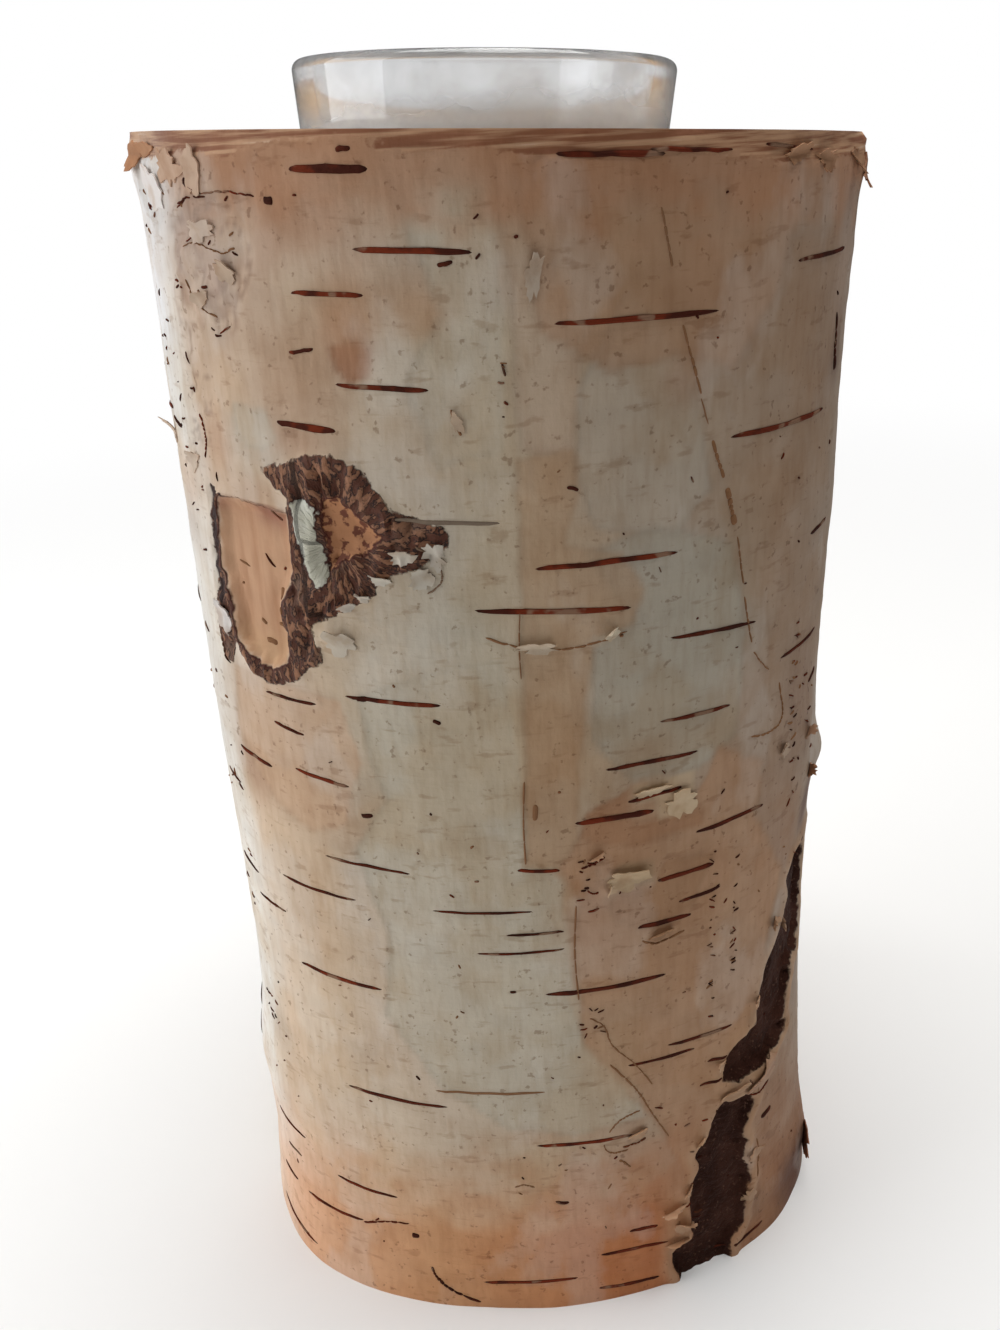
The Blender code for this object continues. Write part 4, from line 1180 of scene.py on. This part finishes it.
cup_slope = math.degrees(math.atan2(CUP_RIM_RADIUS - CUP_BASE_RADIUS, CUP_HEIGHT))
cup_rim = CUP_WALL / 2
cup_floor_radius = CUP_BASE_RADIUS + CUP_FLOOR * math.tan(math.radians(cup_slope)) - CUP_WALL
cup_profile = [(0.0, 0.0)]
foot_middle = (CUP_BASE_RADIUS - CUP_FOOT_ROUND, CUP_FOOT_ROUND)
rim_middle = (CUP_RIM_RADIUS - cup_rim, CUP_HEIGHT - cup_rim)
inner_middle = (cup_floor_radius - CUP_INNER_ROUND, CUP_FLOOR + CUP_INNER_ROUND)
cup_profile += arc(foot_middle, CUP_FOOT_ROUND, -90, -cup_slope, 8)
cup_profile += arc(rim_middle, cup_rim, -cup_slope, 180 - cup_slope, 16)
cup_profile += arc(inner_middle, CUP_INNER_ROUND, 0, -90, 8)
cup_profile += [(0.0, CUP_FLOOR)]

clear_glass, tree, shader = new_material("clear_glass", 0.05)
residue = noise_of(tree, (120, 120, 150), 5)
glass_place = add_node(tree, "ShaderNodeTexCoord").outputs["Object"]
glass_height = add_node(tree, "ShaderNodeSeparateXYZ", {0: glass_place}).outputs["Z"]
low_down = between(tree, glass_height, HAZE_FROM, HAZE_FULL, 0.0, 0.42)
clarity = combined(tree, "SUBTRACT", between(tree, residue, 0.40, 0.72, 0.96, 0.74), low_down)
shader.inputs["Base Color"].default_value = (0.93, 0.94, 0.95, 1)
tree.links.new(clarity, shader.inputs["Transmission Weight"])
shader.inputs["IOR"].default_value = 1.5

bm = bmesh.new()
profile = [bm.verts.new((radius * MM, 0.0, level * MM)) for radius, level in cup_profile]
edges = [bm.edges.new(pair) for pair in zip(profile, profile[1:])]
bmesh.ops.spin(
    bm, geom=profile + edges, cent=(0, 0, 0), axis=(0, 0, 1), angle=2 * math.pi, steps=CUP_SIDES
)
bmesh.ops.remove_doubles(bm, verts=bm.verts, dist=0.002 * MM)
bmesh.ops.recalc_face_normals(bm, faces=bm.faces)
for vertex in bm.verts:
    spread = math.hypot(vertex.co.x, vertex.co.y)
    if spread > 12 * MM:
        wave = float(value_noise(np.array(vertex.co) / MM, (9.0, 9.0, 11.0), SEED + 70))
        vertex.co.xy = vertex.co.xy * (1 + wave * GLASS_WAVE * MM / spread)
stand = recess_frame @ Matrix.Translation((0.0, 0.0, CUP_GAP - RECESS_DEPTH))
stand.translation *= MM
bmesh.ops.transform(bm, matrix=stand, verts=bm.verts)
cup_mesh = bpy.data.meshes.new("glass_cup_turned")
bm.to_mesh(cup_mesh)
bm.free()
cup_mesh.shade_smooth()
cup_mesh.materials.append(clear_glass)
cup = add_object("glass_cup_turned", cup_mesh)
place_piece(cup, "glass_cup")

# ------------------------------------------------------------------------------------- the floor and lights
# A plain white floor that fades into a white surround. A broad soft light stands on the left, a large one
# hangs above, and little light comes from anywhere else, so the right side of the log is in shade.
FLOOR_SIZE = 4000.0
LOG_MIDDLE = Vector((0.0, 0.0, 0.1))
SURROUND_FROM = 0.22               # metres from the log where the floor starts to fade into the surround
SURROUND_TO = 0.70


def seen_strength(tree, lit, seen, through_glass):
    """The socket of a strength: for light on the object, for the eye, and for the eye through glass."""
    kind = add_node(tree, "ShaderNodeLightPath").outputs
    straight = combined(tree, "MULTIPLY", kind["Is Camera Ray"], seen - lit)
    more_through_glass = combined(tree, "SUBTRACT", through_glass, lit)
    bent = combined(tree, "MULTIPLY", kind["Is Transmission Ray"], more_through_glass)
    return combined(tree, "ADD", combined(tree, "ADD", straight, bent), lit)


floor_finish, floor_tree, floor_shader = new_material("pale_floor", 0.9)
floor_shader.inputs["Base Color"].default_value = (0.86, 0.86, 0.86, 1)
floor_place = add_node(floor_tree, "ShaderNodeTexCoord").outputs["Object"]
floor_distance = add_node(floor_tree, "ShaderNodeVectorMath", {0: floor_place}, operation="LENGTH")
surround_strength = seen_strength(floor_tree, 0.3, 1.0, 0.80)
surround = add_node(floor_tree, "ShaderNodeEmission", {"Strength": surround_strength})
floor_mix = add_node(floor_tree, "ShaderNodeMixShader", {
    0: between(floor_tree, floor_distance.outputs["Value"], SURROUND_FROM, SURROUND_TO),
    1: floor_shader.outputs["BSDF"],
    2: surround.outputs["Emission"],
})
floor_output = floor_tree.nodes["Material Output"]
floor_tree.links.new(floor_mix.outputs["Shader"], floor_output.inputs["Surface"])
half = FLOOR_SIZE / 2
floor_corners = [(-half, -half, 0), (half, -half, 0), (half, half, 0), (-half, half, 0)]
floor = new_piece("floor", floor_corners, [(0, 1, 2, 3)], floor_finish)

world = bpy.data.worlds.new("studio")
bpy.context.scene.world = world
world.use_nodes = True
sky_tree = world.node_tree
sky = sky_tree.nodes["Background"]

# The surround is even and white to the eye, but through the glass it gets darker and warmer overhead.
sky_way = add_node(sky_tree, "ShaderNodeTexCoord").outputs["Generated"]
sky_steepness = add_node(sky_tree, "ShaderNodeSeparateXYZ", {0: sky_way}).outputs["Z"]
through_glass = between(sky_tree, sky_steepness, 0.15, 0.60, 0.90, 0.20)
sky_tree.links.new(seen_strength(sky_tree, 0.12, 1.0, through_glass), sky.inputs["Strength"])
bent_ray = add_node(sky_tree, "ShaderNodeLightPath").outputs["Is Transmission Ray"]
warmth = combined(sky_tree, "MULTIPLY", bent_ray, between(sky_tree, sky_steepness, 0.25, 0.65))
sky_tree.links.new(mixed(sky_tree, warmth, (1.0, 1.0, 1.0), (1.0, 0.66, 0.45)), sky.inputs["Color"])


def soft_light(name, place, size, power, colour):
    """A square area light in metres and watts, aimed at the middle of the log."""
    data = bpy.data.lights.new(name, "AREA")
    data.shape = "SQUARE"
    data.size = size
    data.energy = power
    data.color = colour
    made = add_object(name, data)
    made.location = place
    made.rotation_euler = (LOG_MIDDLE - Vector(place)).to_track_quat("-Z", "Y").to_euler()


soft_light("light_left", (-1.0, -0.15, 0.40), 0.9, 8.0, (0.96, 0.98, 1.0))
soft_light("light_above", (0.15, 0.15, 1.5), 1.2, 25.0, (1.0, 0.99, 0.97))
bpy.context.scene.view_settings.view_transform = "Standard"
